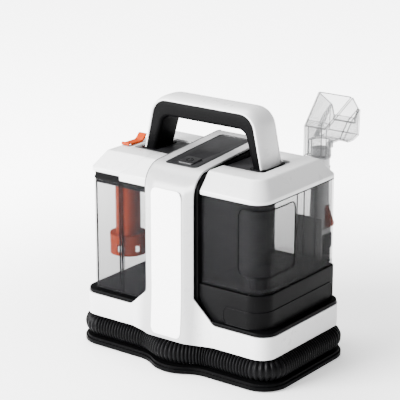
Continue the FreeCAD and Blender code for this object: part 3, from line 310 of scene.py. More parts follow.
ORANGE = moulded("orange_abs", (0.23, 0.02, 0.0), (0.31, 0.033, 0.0), 0.36, 1000, 0.00006, shine=0.06)
RUBBER = moulded("black_rubber", (0.0015, 0.0015, 0.0015), (0.004, 0.004, 0.004), 0.7, 700, 0.00012,
                 shine=0.05)
HOSE = moulded("hose_black", (0.0016, 0.0016, 0.0018), (0.004, 0.004, 0.0044), 0.38, 500, 0.0001, shine=0.04)
CLEAR = see_through("clear_tank", (0.012, 0.012, 0.013), 0.27, 0.62, shine=0.05)
SMOKE = see_through("smoke_tank", (0.008, 0.008, 0.0085), 0.32, 0.85, shine=0.05)
SMOKE_WINDOW = see_through("smoke_window", (0.016, 0.016, 0.017), 0.12, 0.4, shine=0.05)
NOZZLE_CLEAR = see_through("nozzle_clear", (0.2, 0.203, 0.207), 0.26, 0.8, shine=0.15)
DOCK_GREY = moulded("dock_grey", (0.42, 0.42, 0.425), (0.5, 0.5, 0.505), 0.5, 1200, 0.00008, shine=0.2)
# Grey for painted shadow: the shadow line at the spine's edge and the painted shade along the clear nozzle's
# edges.
PAINTED_SHADOW_GREY = moulded("seam_shadow", (0.12, 0.12, 0.122), (0.18, 0.18, 0.182), 0.6, 900, 0.00005, shine=0.2)
STEEL = make_steel()
BOARD = make_board_paint()
FOAM = make_foam_paint()


# ---- mesh kit ------------------------------------------------------------------------------------
def rounded(corners, steps=8):
    """Points of a closed outline whose corners (a, b, radius) are rounded by arcs."""
    points = []
    for index, (a, b, radius) in enumerate(corners):
        here = Vector((a, b))
        if radius <= 0:
            points.append(here)
            continue
        before = (Vector(corners[index - 1][:2]) - here).normalized()
        after = (Vector(corners[(index + 1) % len(corners)][:2]) - here).normalized()
        half = before.angle(after) / 2
        centre = here + (before + after).normalized() * radius / math.sin(half)
        start = here + before * radius / math.tan(half) - centre
        end = here + after * radius / math.tan(half) - centre
        sweep = start.angle_signed(end)
        for step in range(steps + 1):
            turn = Matrix.Rotation(-sweep * step / steps, 2)
            points.append(centre + turn @ start)
    return points


def rectangle(x0, x1, y0, y1, r00, r10, r11, r01, steps=8):
    """Rounded rectangle with the same number of points whatever its radii."""
    tiny = 1e-5
    corners = ((x0, y0, r00), (x1, y0, r10), (x1, y1, r11), (x0, y1, r01))
    return rounded([(x, y, max(radius, tiny)) for x, y, radius in corners], steps)


def shade(mesh, angle=32.0):
    """Smooth faces, with edges sharper than the angle kept crisp."""
    made = bmesh.new()
    made.from_mesh(mesh)
    limit = math.radians(angle)
    for face in made.faces:
        face.smooth = True
    for edge in made.edges:
        edge.smooth = len(edge.link_faces) == 2 and edge.calc_face_angle(0.0) < limit
    made.to_mesh(mesh)
    made.free()


def build(name, points, faces, outward=True):
    mesh = bpy.data.meshes.new(name)
    mesh.from_pydata([tuple(point) for point in points], [], faces)
    made = bmesh.new()
    made.from_mesh(mesh)
    bmesh.ops.remove_doubles(made, verts=made.verts, dist=2e-6)
    if outward:
        bmesh.ops.recalc_face_normals(made, faces=made.faces)
    made.to_mesh(mesh)
    made.free()
    return linked(name, mesh)


def loft(name, rings, closed=True, capped=True):
    """Skin through rings of equal length; a closed ring wraps round on itself."""
    size = len(rings[0])
    points = [point for ring in rings for point in ring]
    faces = []
    for row in range(len(rings) - 1):
        for column in range(size if closed else size - 1):
            a = row * size + column
            b = row * size + (column + 1) % size
            faces.append((a, b, b + size, a + size))
    if capped:
        faces.append(tuple(range(size)))
        faces.append(tuple(range((len(rings) - 1) * size, len(rings) * size)))
    return build(name, points, faces)


def applied(piece, angle=32.0):
    """Turns a piece's modifiers into plain mesh and shades it."""
    bpy.context.view_layer.update()
    graph = bpy.context.evaluated_depsgraph_get()
    mesh = bpy.data.meshes.new_from_object(piece.evaluated_get(graph))
    piece.modifiers.clear()
    piece.data = mesh
    shade(mesh, angle)
    return piece


def softened(piece, width, segments=3, angle=32.0):
    bevel = piece.modifiers.new("edges", "BEVEL")
    bevel.width = width
    bevel.segments = segments
    bevel.limit_method = "ANGLE"
    bevel.angle_limit = math.radians(angle)
    bevel.use_clamp_overlap = True
    return applied(piece, angle + 8)


def thickened(piece, thickness, offset=-1.0):
    solid = piece.modifiers.new("wall", "SOLIDIFY")
    solid.thickness = thickness
    solid.offset = offset
    solid.use_even_offset = True
    return applied(piece)


def carved(piece, *cutters):
    """Cuts the cutters' shapes out of the piece."""
    for cutter in cutters:
        cut = piece.modifiers.new("cut", "BOOLEAN")
        cut.object = cutter
        cut.operation = "DIFFERENCE"
        cut.solver = "EXACT"
    applied(piece)
    for cutter in cutters:
        bpy.data.objects.remove(cutter)
    return piece


def prism(name, outline, axis, low, high):
    """Outline (a, b) in the plane across axis 0, 1 or 2, drawn out from low to high."""
    def put(point, level):
        spot = list(point)
        spot.insert(axis, level)
        return Vector(spot)
    return loft(name, [[put(point, low) for point in outline], [put(point, high) for point in outline]])


def finish(piece, paint, body, slot, *nodes):
    piece.data.materials.clear()
    piece.data.materials.append(paint)
    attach(piece, body)
    if nodes:
        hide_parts(*nodes)
    return piece


def merged(node):
    """A copy of a node's mesh with its loose triangles joined and its flat faces made whole."""
    made = bmesh.new()
    made.from_mesh(frame["nodes"][node].data)
    bmesh.ops.remove_doubles(made, verts=made.verts, dist=1e-5)
    bmesh.ops.dissolve_limit(made, angle_limit=math.radians(0.8), verts=made.verts, edges=made.edges)
    return made


def cad_copy(node, paint, slot, width, segments=2, angle=35.0):
    """A node's own shape with its edges rounded, standing for the node."""
    made = merged(node)
    mesh = frame["nodes"][node].data.copy()
    made.to_mesh(mesh)
    made.free()
    piece = linked(node + "_shaped", mesh)
    softened(piece, width, segments, angle)
    return finish(piece, paint, BODIES[node], slot, node)


def new_curve(name, radius, resolution):
    curve = bpy.data.curves.new(name, "CURVE")
    curve.dimensions = "3D"
    curve.bevel_depth = radius
    curve.bevel_resolution = resolution
    return curve


def add_line(curve, kind, points):
    line = curve.splines.new(kind)
    line.points.add(len(points) - 1)
    for spot, point in zip(line.points, points):
        spot.co = (*point, 1)
    return line


def linked(name, data):
    piece = bpy.data.objects.new(name, data)
    bpy.context.scene.collection.objects.link(piece)
    return piece


def as_mesh(name, holder, angle):
    """Piece with the evaluated shape of a curve's object, which is then removed."""
    bpy.context.view_layer.update()
    mesh = bpy.data.meshes.new_from_object(holder.evaluated_get(bpy.context.evaluated_depsgraph_get()))
    bpy.data.objects.remove(holder)
    shade(mesh, angle)
    return linked(name, mesh)


def line_loop(name, points, radius, closed=True):
    """Thin round bead along points."""
    curve = new_curve(name, radius, 2)
    curve.use_fill_caps = True
    add_line(curve, "POLY", points).use_cyclic_u = closed
    return as_mesh(name, linked(name, curve), 60)


def edge_beads(name, nodes, radius, angle=28.0):
    """Thin beads along the sharp edges of nodes, kept inside the nodes' boxes."""
    curve = new_curve(name, radius, 1)
    for node in nodes:
        made = merged(node)
        made.normal_update()
        for edge in made.edges:
            if len(edge.link_faces) == 2 and edge.calc_face_angle(0.0) > math.radians(angle):
                add_line(curve, "POLY", [vert.co - vert.normal * radius for vert in edge.verts])
        made.free()
    piece = as_mesh(name, linked(name, curve), 60)
    boxes = [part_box(node) for node in nodes]
    for axis in range(3):
        low = min(box[0][axis] for box in boxes)
        high = max(box[1][axis] for box in boxes)
        for vertex in piece.data.vertices:
            vertex.co[axis] = min(max(vertex.co[axis], low), high)
    return piece


def at(x, y, z):
    """A place given in millimetres from the handle's centre plane and the floor."""
    return Vector((x * MM, y * MM + MID_Y, z * MM))


def low_high(node):
    """A node's corners in the same millimetres."""
    low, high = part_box(node)
    return ([low.x / MM, (low.y - MID_Y) / MM, low.z / MM], [high.x / MM, (high.y - MID_Y) / MM, high.z / MM])


def flat(x, y):
    """A place on the floor, in the same millimetres."""
    return Vector((x * MM, y * MM + MID_Y))


def block(name, low, high):
    """Box between two corners in the same millimetres."""
    outline = [flat(low[0], low[1]), flat(high[0], low[1]), flat(high[0], high[1]), flat(low[0], high[1])]
    return prism(name, outline, 2, low[2] * MM, high[2] * MM)


def corner_cut(into, corner):
    """How much a rounded corner takes off a column that stands `into` from the end."""
    return corner - math.sqrt(max(corner ** 2 - (corner - into) ** 2, 0.0)) if into < corner else 0.0


# ---- white body: skirt, webs and spine in one skin ----------------------------------------------
SKIRT_LOW, SKIRT_HIGH = low_high("lower_skirt")
SKIRT_TOP = low_high("dirty_tank_deck")[0][2]
SPINE_HALF = low_high("spine_shell")[1][0]
SPINE_FRONT = 104.0
SPINE_BACK = low_high("spine_shell")[1][1]
SPINE_TOP_FRONT = 303.5
SPINE_RISE = 18.0
SPINE_BEND = 34.0
SKIRT_FRONT = SKIRT_HIGH[1]
SKIRT_CORNER = 25.0
HALF_FLAT = SKIRT_HIGH[0] - SKIRT_CORNER
STRIP_HALF = low_high("front_strip")[1][0]
STRIP_TOP = low_high("front_strip")[1][2]
WEB_HIGH = 122.0
SWELL_REACH = 51.0
SWELL_WIDER = {RIGHT: 28.0, LEFT: 18.0}
SWELL_DEPTH = 9.5
SWELL_DEEPER = 4.0
NOTCH_FOOT = {RIGHT: 78.0, LEFT: 76.0}
NOTCH_RISE = {RIGHT: 117.0, LEFT: 111.0}
ARCH_STEP = 9.0
BODY_WALL = 3.2


def blend(value):
    value = min(max(value, 0.0), 1.0)
    return value * value * (3 - 2 * value)


def front_swell(x, z):
    """How far the front stands out past the skirt's front plane, more of it towards the floor."""
    low = min(max((WEB_HIGH - z) / (WEB_HIGH - SKIRT_LOW[2]), 0.0), 1.0) ** 1.4
    reach = SWELL_REACH + SWELL_WIDER[RIGHT if x > 0 else LEFT] * low
    depth = SWELL_DEPTH + SWELL_DEEPER * low
    share = min(max((reach - abs(x)) / (reach - STRIP_HALF), 0.0), 1.0)
    return depth * (share + (blend(share) - share) * (0.35 + 0.65 * low))


def notch(side):
    """Top edge of the front skin from the spine's side outwards, as (distance from centre, height)."""
    corners = [(SPINE_HALF, WEB_HIGH + 20, 0), (SPINE_HALF, NOTCH_RISE[side], 7),
               (NOTCH_FOOT[side], SKIRT_TOP, 12), (HALF_FLAT, SKIRT_TOP, 0)]
    return [(point.x, point.y) for point in rounded(corners, 5)[1:]]


def arch_stations():
    """Stations along the spine from the front webs, over the top, to the back: place, normal, swell share."""
    corners = [(-SPINE_FRONT, WEB_HIGH, 0), (-SPINE_FRONT, SPINE_TOP_FRONT, SPINE_BEND),
               (SPINE_BACK, SPINE_TOP_FRONT + SPINE_RISE, SPINE_BEND - 4), (SPINE_BACK, SKIRT_TOP + 0.3, 0)]
    line = rounded(corners, 12)
    dense = []
    for here, there in zip(line, line[1:]):
        parts = max(1, int((there - here).length / ARCH_STEP))
        dense += [here.lerp(there, step / parts) for step in range(parts)]
    dense.append(line[-1])
    stations = []
    for index, point in enumerate(dense):
        ahead = dense[min(index + 1, len(dense) - 1)] - dense[max(index - 1, 0)]
        normal = Vector((-ahead.y, ahead.x)).normalized()
        if index in (0, len(dense) - 1):
            normal = Vector((-1 if index == 0 else 1, 0))
        fade = 1.0 - blend((point.y - STRIP_TOP + 16) / 38.0) if point.x < 0 else 0.0
        stations.append((point, normal, fade))
    return stations


def front_columns():
    """Distances across the front, with those of the notches' top edges."""
    inner = [-SPINE_HALF + SPINE_HALF * 2 * step / 22 for step in range(1, 22)]
    left = [(-x, z) for x, z in reversed(notch(LEFT))]
    right = notch(RIGHT)
    edge_left = left[-1][1]
    edge_right = right[0][1]
    step_up = edge_right - edge_left
    middle_part = [(x, edge_left + step_up * (x + SPINE_HALF) / (2 * SPINE_HALF)) for x in inner]
    return left + middle_part + right


def panel_cutter():
    low, high = low_high("control_panel")
    gap = 0.5
    outline = rectangle(low[0] - gap, high[0] + gap, low[1] - gap, high[1] + gap, 7, 7, 7, 7)
    return prism("window", [flat(point.x, point.y) for point in outline], 2, 0.285, 0.33)


def grille_cutter():
    low, high = low_high("exhaust_grille")
    radius = ((high[0] - low[0]) / 2 + 0.4) * MM
    centre = (low[2] + high[2]) / 2 * MM
    turns = [math.tau * step / 48 for step in range(48)]
    outline = [Vector((radius * math.cos(turn), centre + radius * math.sin(turn))) for turn in turns]
    return prism("hole", outline, 1, MID_Y + 0.09, MID_Y + 0.12)


def make_white_body():
    rows = 10
    columns = front_columns()
    floor = SKIRT_LOW[2]
    loops = []
    for x, top in columns:
        heights = [floor + (top - floor) * row / rows for row in range(rows + 1)]
        loops.append([at(x, -SKIRT_FRONT - front_swell(x, z), z) for z in heights])
    corners = [(HALF_FLAT, -SKIRT_FRONT, 0), (SKIRT_HIGH[0], -SKIRT_FRONT, SKIRT_CORNER),
               (SKIRT_HIGH[0], SKIRT_FRONT, SKIRT_CORNER), (-SKIRT_HIGH[0], SKIRT_FRONT, SKIRT_CORNER),
               (-SKIRT_HIGH[0], -SKIRT_FRONT, SKIRT_CORNER), (-HALF_FLAT, -SKIRT_FRONT, 0)]
    heights = [floor + (SKIRT_TOP - floor) * row / rows for row in range(rows + 1)]
    for spot in rounded(corners, 9)[1:-1]:
        loops.append([at(spot.x, spot.y, z) for z in heights])
    points = [point for loop in loops for point in loop]
    size = rows + 1
    faces = []
    for index in range(len(loops)):
        following = (index + 1) % len(loops)
        for row in range(rows):
            faces.append((index * size + row, following * size + row, following * size + row + 1,
                          index * size + row + 1))
    spine = [(x, top) for x, top in columns if abs(x) <= SPINE_HALF + 0.01]
    stations = arch_stations()
    start = len(points)
    for x, top in spine:
        points.append(at(x, -SKIRT_FRONT - front_swell(x, top), top))
        for spot, normal, fade in stations:
            z = spot.y
            out = (front_swell(x, max(z, WEB_HIGH)) - (SPINE_FRONT - SKIRT_FRONT)) * fade
            place = spot + normal * out
            if spot is stations[0][0]:
                place.y = max(place.y, top + 2.0)
            points.append(at(x, place.x, place.y))
    high = len(stations) + 1
    for index in range(len(spine) - 1):
        for row in range(high - 1):
            a = start + index * high + row
            faces.append((a, a + high, a + high + 1, a + 1))
    skin = build("white_body", points, faces, outward=False)
    thickened(skin, BODY_WALL * MM)
    softened(skin, 1.3 * MM, 3, 50)
    carved(skin, panel_cutter(), grille_cutter())
    finish(skin, BODY_WHITE_WITH_SHADE, "chassis", "white_plastic", "lower_skirt", "spine_shell")


def make_spine_shadow_line():
    """Shadow line where the left shoulder meets the spine."""
    low = low_high("left_shoulder")[0][2]
    points = [at(-SPINE_HALF - 0.3, spot.x - 0.4, spot.y + 0.2) for spot, _, _ in arch_stations()
              if spot.y > low and spot.x < SPINE_BACK - 20]
    # Painted shadow: a grey bead along the seam stands for the shade under the spine's raised edge.
    seam = line_loop("spine_shadow_line", points, 0.55 * MM, closed=False)
    finish(seam, PAINTED_SHADOW_GREY, "chassis", "white_plastic")


def make_front_strip():
    low = SKIRT_LOW[2] + 5
    corner = 9.0
    columns = []
    for step in range(23):
        x = -STRIP_HALF + 2 * STRIP_HALF * step / 22
        cut = corner_cut(STRIP_HALF - abs(x), corner)
        heights = [low + cut + (STRIP_TOP - low - 2 * cut) * row / 40 for row in range(41)]
        column = []
        for z in heights:
            out = front_swell(x, z) + 0.9
            bend = max(z - (SPINE_TOP_FRONT - SPINE_BEND + 3), 0.0)
            column.append(at(x, -SKIRT_FRONT - out + bend ** 2 / 90.0, z))
        columns.append(column)
    strip = loft("front_strip_skin", columns, closed=False, capped=False)
    if strip.data.polygons[0].normal.y > 0:
        strip.data.flip_normals()
    thickened(strip, 1.6 * MM)
    softened(strip, 0.5 * MM, 2, 50)
    finish(strip, BRIGHT, "chassis", "white_plastic", "front_strip")


# ---- caps over the tanks ------------------------------------------------------------------------
CAP_LOW, CAP_HIGH = low_high("clean_tank_cap")
BRIDGE_LOW, BRIDGE_HIGH = low_high("handle_bridge_right")
CAP_LIP = CAP_LOW[2] + 6.0
CAP_TOP = CAP_LOW[2] + 30.5
CAP_SLOPE_RUN = 18.0
CAP_SLOPE_BACK = 21.0
CAP_SHRINK = 0.45


def cap_skin(name, side, front_radius, back_radius, near, far, slope_out, bottom):
    """Solid cap with a short lip, flat slopes and softly rounded bends."""
    profile = rounded([(1.6, bottom, 0), (0, bottom, 1.2), (0, CAP_LIP, 5), (CAP_SLOPE_RUN, CAP_TOP, 6),
                       (34, CAP_TOP, 0), (34, bottom - 50, 0)], 5)[:-1]
    sharp = 0.5
    rings = []
    for inset, level in profile:
        radius_front = max(front_radius - CAP_SHRINK * inset, 4.0)
        radius_back = max(back_radius - CAP_SHRINK * inset, 4.0)
        deep = CAP_HIGH[1] - inset * CAP_SLOPE_BACK / CAP_SLOPE_RUN
        outer = far - inset * slope_out
        ring = rectangle(near, outer, -deep, deep, sharp, radius_front, radius_back, sharp, 9)
        rings.append([at(side * point.x, point.y, level) for point in ring])
    return loft(name, rings)


def well_cutter(side):
    gap = 1.2
    outline = rectangle(30.0, BRIDGE_HIGH[0] + gap, BRIDGE_LOW[1] - gap, BRIDGE_HIGH[1] + gap, 0, 8, 8, 0, 6)
    shape = [flat(side * point.x, point.y) for point in outline]
    return prism("well", shape, 2, (BRIDGE_LOW[2] - gap) * MM, 0.33)


SEAM_OUT = 100.0
SEAM_IN = 66.0
SEAM_RUN = 27.0


def seam_cutter(shift, inner):
    """Block on one side of the seam between the left shoulder and the waste tank's cap."""
    deep = CAP_HIGH[1]
    front = [(-SEAM_OUT, -deep - 20)]
    for step in range(9):
        share = step / 8
        inward = (SEAM_OUT - SEAM_IN) * math.sin(share * math.pi / 2)
        front.append((-SEAM_OUT + inward, -deep + SEAM_RUN * share))
    back = [(x, -y) for x, y in reversed(front)]
    reach = -20.0 if inner else -200.0
    outline = [(x + shift, y) for x, y in front + back] + [(reach, deep + 20), (reach, -deep - 20)]
    return prism("seam", [flat(x, y) for x, y in outline], 2, 0.25, 0.33)


def make_caps():
    right = cap_skin("clean_cap", RIGHT, 27, 10, CAP_LOW[0], CAP_HIGH[0], 1.0, CAP_LOW[2])
    carved(right, well_cutter(RIGHT))
    softened(right, 0.7 * MM, 2, 42)
    finish(right, WHITE, "clean_tank_unit", "white_plastic", "clean_tank_cap")
    far = -low_high("dirty_tank_cap")[0][0]
    left = cap_skin("waste_cap", LEFT, 12, 12, CAP_LOW[0], far, 1.0, CAP_LOW[2])
    carved(left, seam_cutter(-0.5, True), well_cutter(LEFT))
    softened(left, 0.6 * MM, 2, 42)
    finish(left, WHITE, "dirty_tank_unit", "white_plastic", "dirty_tank_cap")
    low = low_high("left_shoulder")[0][2]
    shoulder = cap_skin("shoulder_skin", LEFT, 4, 4, CAP_LOW[0] - 5, 112.0, 0.0, low)
    carved(shoulder, seam_cutter(0.0, False), well_cutter(LEFT))
    softened(shoulder, 0.6 * MM, 2, 42)
    finish(shoulder, WHITE, "chassis", "white_plastic", "left_shoulder")


# ---- carrying handle ---------------------------------------------------------------------------
HANDLE_LEAN = 18.0
HANDLE_CROWN = 4.6
GRIP_SIDE = 1.6
GRIP_BEND = 6.0


def make_handle():
    low, high = low_high("handle_shell")
    foot, half, top = high
    base = low[2]

    def arch(shift_x, shift_z, radius):
        shoulder = foot - HANDLE_LEAN - shift_x * 0.9
        return rounded([(-foot + shift_x, base, 0), (-shoulder, top - shift_z, radius),
                        (shoulder, top - shift_z, radius), (foot - shift_x, base, 0)], 12)
    side = half - GRIP_SIDE
    turns = [math.pi / 2 * step / 6 for step in range(7)]
    shell_rings = []
    grip_rings = []
    for out, mid, near in zip(arch(0, 0, 32), arch(7, 7, 25), arch(22, 31, 15)):
        inward = (near - out).normalized()
        ring = []
        for step in range(17):
            y = -half + 2 * half * step / 16
            spot = out + inward * HANDLE_CROWN * (abs(y) / half) ** 3.2
            ring.append(at(spot.x, y, spot.y))
        shell_rings.append(ring + [at(mid.x, half - 0.2, mid.y), at(mid.x, -half + 0.2, mid.y)])
        loop = [at(mid.x, -side, mid.y), at(mid.x, side, mid.y)]
        for along, order in ((1, turns), (-1, reversed(turns))):
            for turn in order:
                spot = near - inward * GRIP_BEND * (1 - math.sin(turn))
                loop.append(at(spot.x, along * (side - GRIP_BEND * (1 - math.cos(turn))), spot.y))
        grip_rings.append(loop)
    shell = loft("handle_shell_skin", shell_rings)
    softened(shell, 0.7 * MM, 2, 48)
    finish(shell, WHITE, "chassis", "white_plastic", "handle_shell")
    grip = loft("handle_grip_skin", grip_rings)
    softened(grip, 0.5 * MM, 2, 48)
    finish(grip, BLACK, "chassis", "black_plastic", "handle_grip")
    for side, name in ((LEFT, "left"), (RIGHT, "right")):
        near, far = sorted((side * (foot - 25.0), side * (foot + 1.2)))
        outline = rectangle(near, far, -half - 1.6, half + 1.6, 3, 3, 3, 3, 6)
        collar = loft("handle_foot_line_" + name,
                      [[at(spot.x, spot.y, level) for spot in outline] for level in (base - 0.2, base + 1.5)])
        finish(collar, GLOSS_BLACK, "chassis", "black_plastic")


# ---- tanks ---------------------------------------------------------------------------------------
def tank_skin(name, low, high, radii, wall, round_foot=2.5):
    """Open-topped tank with inner and outer walls and a rounded foot."""
    def ring(inset, z):
        corners = [max(radius - inset, 0.6) for radius in radii]
        outline = rectangle(low[0] + inset, high[0] - inset, low[1] + inset, high[1] - inset, *corners, 8)
        return [at(point.x, point.y, z) for point in outline]
    rings = []
    for step in range(5):
        turn = math.pi / 2 * step / 4
        rings.append(ring(round_foot * (1 - math.sin(turn)), low[2] + round_foot * (1 - math.cos(turn))))
    rings.append(ring(0, high[2]))
    rings.append(ring(wall, high[2]))
    rings.append(ring(wall, low[2] + wall + 2))
    rings.append(ring(wall + 2, low[2] + wall))
    return loft(name, rings)


def outline_walk(x1, y0, radius, start, end, count):
    """Places and normals along the front, the front right corner and the right side of a rounded block.

    start is an x on the front face and end a y on the right side."""
    front = x1 - radius - start
    arc = radius * math.pi / 2
    side = end - (y0 + radius)
    total = front + arc + side
    walk = []
    for step in range(count + 1):
        s = total * step / count
        if s < front:
            spot, normal = Vector((start + s, y0)), Vector((0, -1))
        elif s < front + arc:
            turn = (s - front) / radius
            normal = Vector((math.sin(turn), -math.cos(turn)))
            spot = Vector((x1 - radius, y0 + radius)) + normal * radius
        else:
            spot, normal = Vector((x1, y0 + radius + s - front - arc)), Vector((1, 0))
        walk.append((s, spot, normal))
    return walk, total


def wrapped_panel(name, walk, total, z0, z1, corner, lift, thickness):
    """Panel that wraps a rounded corner, with its own corners rounded; returns it and its rim."""
    columns = []
    upper = []
    lower = []
    for s, spot, normal in walk:
        cut = corner_cut(min(s, total - s), corner)
        place = spot + normal * lift
        heights = [z0 + cut + (z1 - z0 - 2 * cut) * row / 12 for row in range(13)]
        columns.append([at(place.x, place.y, z) for z in heights])
        lower.append(columns[-1][0])
        upper.append(columns[-1][-1])
    panel = loft(name, columns, closed=False, capped=False)
    first = panel.data.polygons[0].normal
    if first.dot(Vector((walk[0][2].x, walk[0][2].y, 0))) < 0:
        panel.data.flip_normals()
    thickened(panel, thickness)
    return panel, lower + list(reversed(upper))


def make_clean_tank():
    low, high = low_high("clean_tank")
    radii = (0.6, 25, 4, 0.6)
    tank = tank_skin("water_tank", low, high, radii, 2.5)
    finish(tank, SMOKE, "clean_tank_unit", "smoke_plastic", "clean_tank")
    walk, total = outline_walk(high[0], low[1], radii[1], start=115.0, end=-14.0, count=44)
    panel, rim = wrapped_panel("water_tank_window", walk, total, 167.0, 266.0, 10.0, 0.9, 0.7 * MM)
    finish(panel, SMOKE_WINDOW, "clean_tank_unit", "smoke_plastic")
    edge = line_loop("water_tank_window_edge", rim, 1.1 * MM)
    finish(edge, GLOSS_BLACK, "clean_tank_unit", "smoke_plastic")
    band = tank_skin("water_tank_band", [low[0] + 0.4, low[1] - 0.8, low[2] + 0.2],
                     [high[0] + 0.8, high[1] + 0.8, low[2] + 8.5], (0.6, 25.8, 4.8, 0.6), 1.0, 0.8)
    finish(band, SMOKE_WINDOW, "clean_tank_unit", "smoke_plastic")
    cad_copy("clean_tank_foot", GLOSS_BLACK, "black_plastic", 3.0 * MM, 4)
    for index, y in enumerate((-4.0, 14.0, 44.0)):
        rib = block("water_tank_rib%d" % index, (high[0] - 3.0, y - 1.3, low[2] + 14),
                    (high[0] - 2.6, y + 1.3, high[2] - 2))
        finish(rib, GLOSS_BLACK, "clean_tank_unit", "smoke_plastic")


def make_dirty_tank():
    low, high = low_high("dirty_tank")
    tank = tank_skin("waste_tank", low, high, (3, 1.5, 1.5, 8), 2.5)
    finish(tank, CLEAR, "dirty_tank_unit", "clear_plastic", "dirty_tank")
    front = low[1] + 1.4
    foot = low[2] + 3
    rail_out, rail_in = -104.6, -99.8
    lines = [[at(rail_out, front, foot), at(rail_out, front, high[2])],
             [at(rail_in, front, foot), at(rail_in, front, high[2])],
             [at(low[0] + 1.2, low[1] + 5, foot), at(low[0] + 1.2, low[1] + 5, high[2])],
             [at(low[0] + 5, low[1] + 1.2, low[2] + 2.4), at(high[0] - 2, low[1] + 1.2, low[2] + 2.4)]]
    for index, line in enumerate(lines):
        bead = line_loop("waste_tank_edge%d" % index, line, (1.25 if index < 3 else 0.9) * MM, closed=False)
        finish(bead, GLOSS_BLACK, "dirty_tank_unit", "clear_plastic")
    rib = block("waste_tank_rib", (rail_out + 0.4, low[1] + 2.6, foot),
                (rail_in - 0.4, low[1] + 7.8, high[2] - 0.5))
    finish(rib, CLEAR, "dirty_tank_unit", "clear_plastic")
    back = high[1] - 3.4
    curve = [(-138, high[2] - 140), (-138, high[2] - 40), (-132, high[2] - 27), (-118, high[2] - 19),
             (-90, high[2] - 14), (-60, high[2] - 12)]
    bead = line_loop("waste_tank_back_arch", [at(x, back, z) for x, z in curve], 1.0 * MM, closed=False)
    finish(bead, GLOSS_BLACK, "dirty_tank_unit", "clear_plastic")
    cad_copy("separator_tube", ORANGE, "orange_plastic", 0.5 * MM)
    cad_copy("separator_collar", ORANGE, "orange_plastic", 0.6 * MM)
    cad_copy("drain_flap_seat", RUBBER, "rubber", 0.8 * MM)
    cad_copy("dirty_tank_lid", BLACK, "black_plastic", 0.8 * MM)
    cad_copy("dirty_tank_latch", ORANGE, "orange_plastic", 0.8 * MM, 3)


# ---- hand tool -----------------------------------------------------------------------------------
def make_tool():
    low, high = low_high("tool_grip")
    corner = 11.0
    rings = []
    for z, inset in ((low[2], 7.0), (low[2] + 0.8, 4.0), (low[2] + 2.4, 1.8), (low[2] + 5, 0.5),
                     (low[2] + 9, 0.0), (low[2] + 45, 0.6), (low[2] + 80, 1.6), (high[2] - 8, 0.8),
                     (high[2] - 2, 0.2), (high[2] - 0.6, 1.0), (high[2], 2.4)):
        outline = rectangle(low[0] + inset, high[0] - inset, low[1] + inset, high[1] - inset,
                            *[max(corner - inset * 0.5, 4)] * 4, 8)
        rings.append([at(point.x, point.y, z) for point in outline])
    grip = loft("tool_grip_skin", rings)
    lever_low, lever_high = low_high("spray_trigger")
    slot = block("slot", ((low[0] + high[0]) / 2 + 1, lever_low[1] - 0.5, lever_low[2] - 2.5),
                 (160, lever_high[1] + 0.5, lever_high[2] + 1.5))
    carved(grip, slot)
    finish(grip, PALE, "chassis", "grey_plastic", "tool_grip")
    cad_copy("spray_trigger", ORANGE, "orange_plastic", 0.8 * MM, 3)
    cad_copy("suction_nozzle", NOZZLE_CLEAR, "clear_plastic", 0.5 * MM, 2)
    cad_copy("nozzle_window", NOZZLE_CLEAR, "clear_plastic", 0.5 * MM, 2)
    # Painted shade: grey beads along the clear nozzle's sharp edges stand for the darkening seen along clear
    # plastic's edges.
    beads = edge_beads("nozzle_edge_shade", ("suction_nozzle", "nozzle_window"), 0.42 * MM)
    finish(beads, PAINTED_SHADOW_GREY, "chassis", "clear_plastic")
    cad_copy("tool_dock", DOCK_GREY, "grey_plastic", 0.8 * MM)
    cad_copy("hose_cuff", BLACK, "black_plastic", 0.6 * MM)
    for name in ("tool_pipe", "spray_tip"):
        paint_node(name, PALE)


def paint_node(node, paint):
    slots = frame["nodes"][node].data.materials
    slots.clear()
    slots.append(paint)


# ---- corrugated hose -----------------------------------------------------------------------------
HOSE_LOW, HOSE_HIGH = low_high("suction_hose")
HOSE_RADIUS = HOSE_HIGH[0] - 166.3
HOSE_BACK = 90.3
HOSE_TURN = 24.0
HOSE_RISE = 52.0
HOSE_LEAVE = -72.8
SWERVE_START, SWERVE_END = 68.0, -56.0
SWERVE_OUT = 18.0


def hose_route():
    """The hose's centre line, from its socket round the base and up to the hand tool."""
    socket_end = low_high("hose_socket")[1][0]
    tool_low, tool_high = low_high("tool_grip")
    side = HOSE_HIGH[0] - HOSE_RADIUS
    z = HOSE_LOW[2] + HOSE_RADIUS
    back = HOSE_BACK
    turn = HOSE_TURN
    tool_x = (tool_low[0] + tool_high[0]) / 2
    tool_y = (tool_low[1] + tool_high[1]) / 2
    route = []

    def corner(centre_x, centre_y, bend, first, last, steps=10):
        for step in range(steps + 1):
            angle = math.radians(first + (last - first) * step / steps)
            route.append((centre_x + bend * math.cos(angle), centre_y + bend * math.sin(angle), z))
    route.append((socket_end, back, z))
    route.append((socket_end + 30, back, z))
    corner(side - turn, back - turn, turn, 90, 0)
    route.append((side, 0, z))
    corner(side - turn, turn - back, turn, 0, -90)
    for step in range(21):
        x = SWERVE_START + (SWERVE_END - SWERVE_START) * step / 20
        share = 1 - abs(x - (SWERVE_START + SWERVE_END) / 2) / ((SWERVE_START - SWERVE_END) / 2)
        route.append((x, -back - SWERVE_OUT * blend(share), z))
    corner(turn - side, turn - back, turn, -90, -180)
    route.append((-side, 0, z))
    corner(turn - side, back - turn, turn, 180, 90)
    for step in range(13):
        share = step / 12
        route.append((HOSE_LEAVE - HOSE_TURN + 123 * share, back + (tool_y - back) * blend(share), z))
    for step in range(11):
        angle = math.radians(90 * step / 10)
        route.append((tool_x - HOSE_RISE * (1 - math.sin(angle)), tool_y,
                      z + HOSE_RISE * (1 - math.cos(angle))))
    route.append((tool_x, tool_y, z + 90))
    route.append((tool_x, tool_y, tool_low[2]))
    return [at(*point) for point in route]


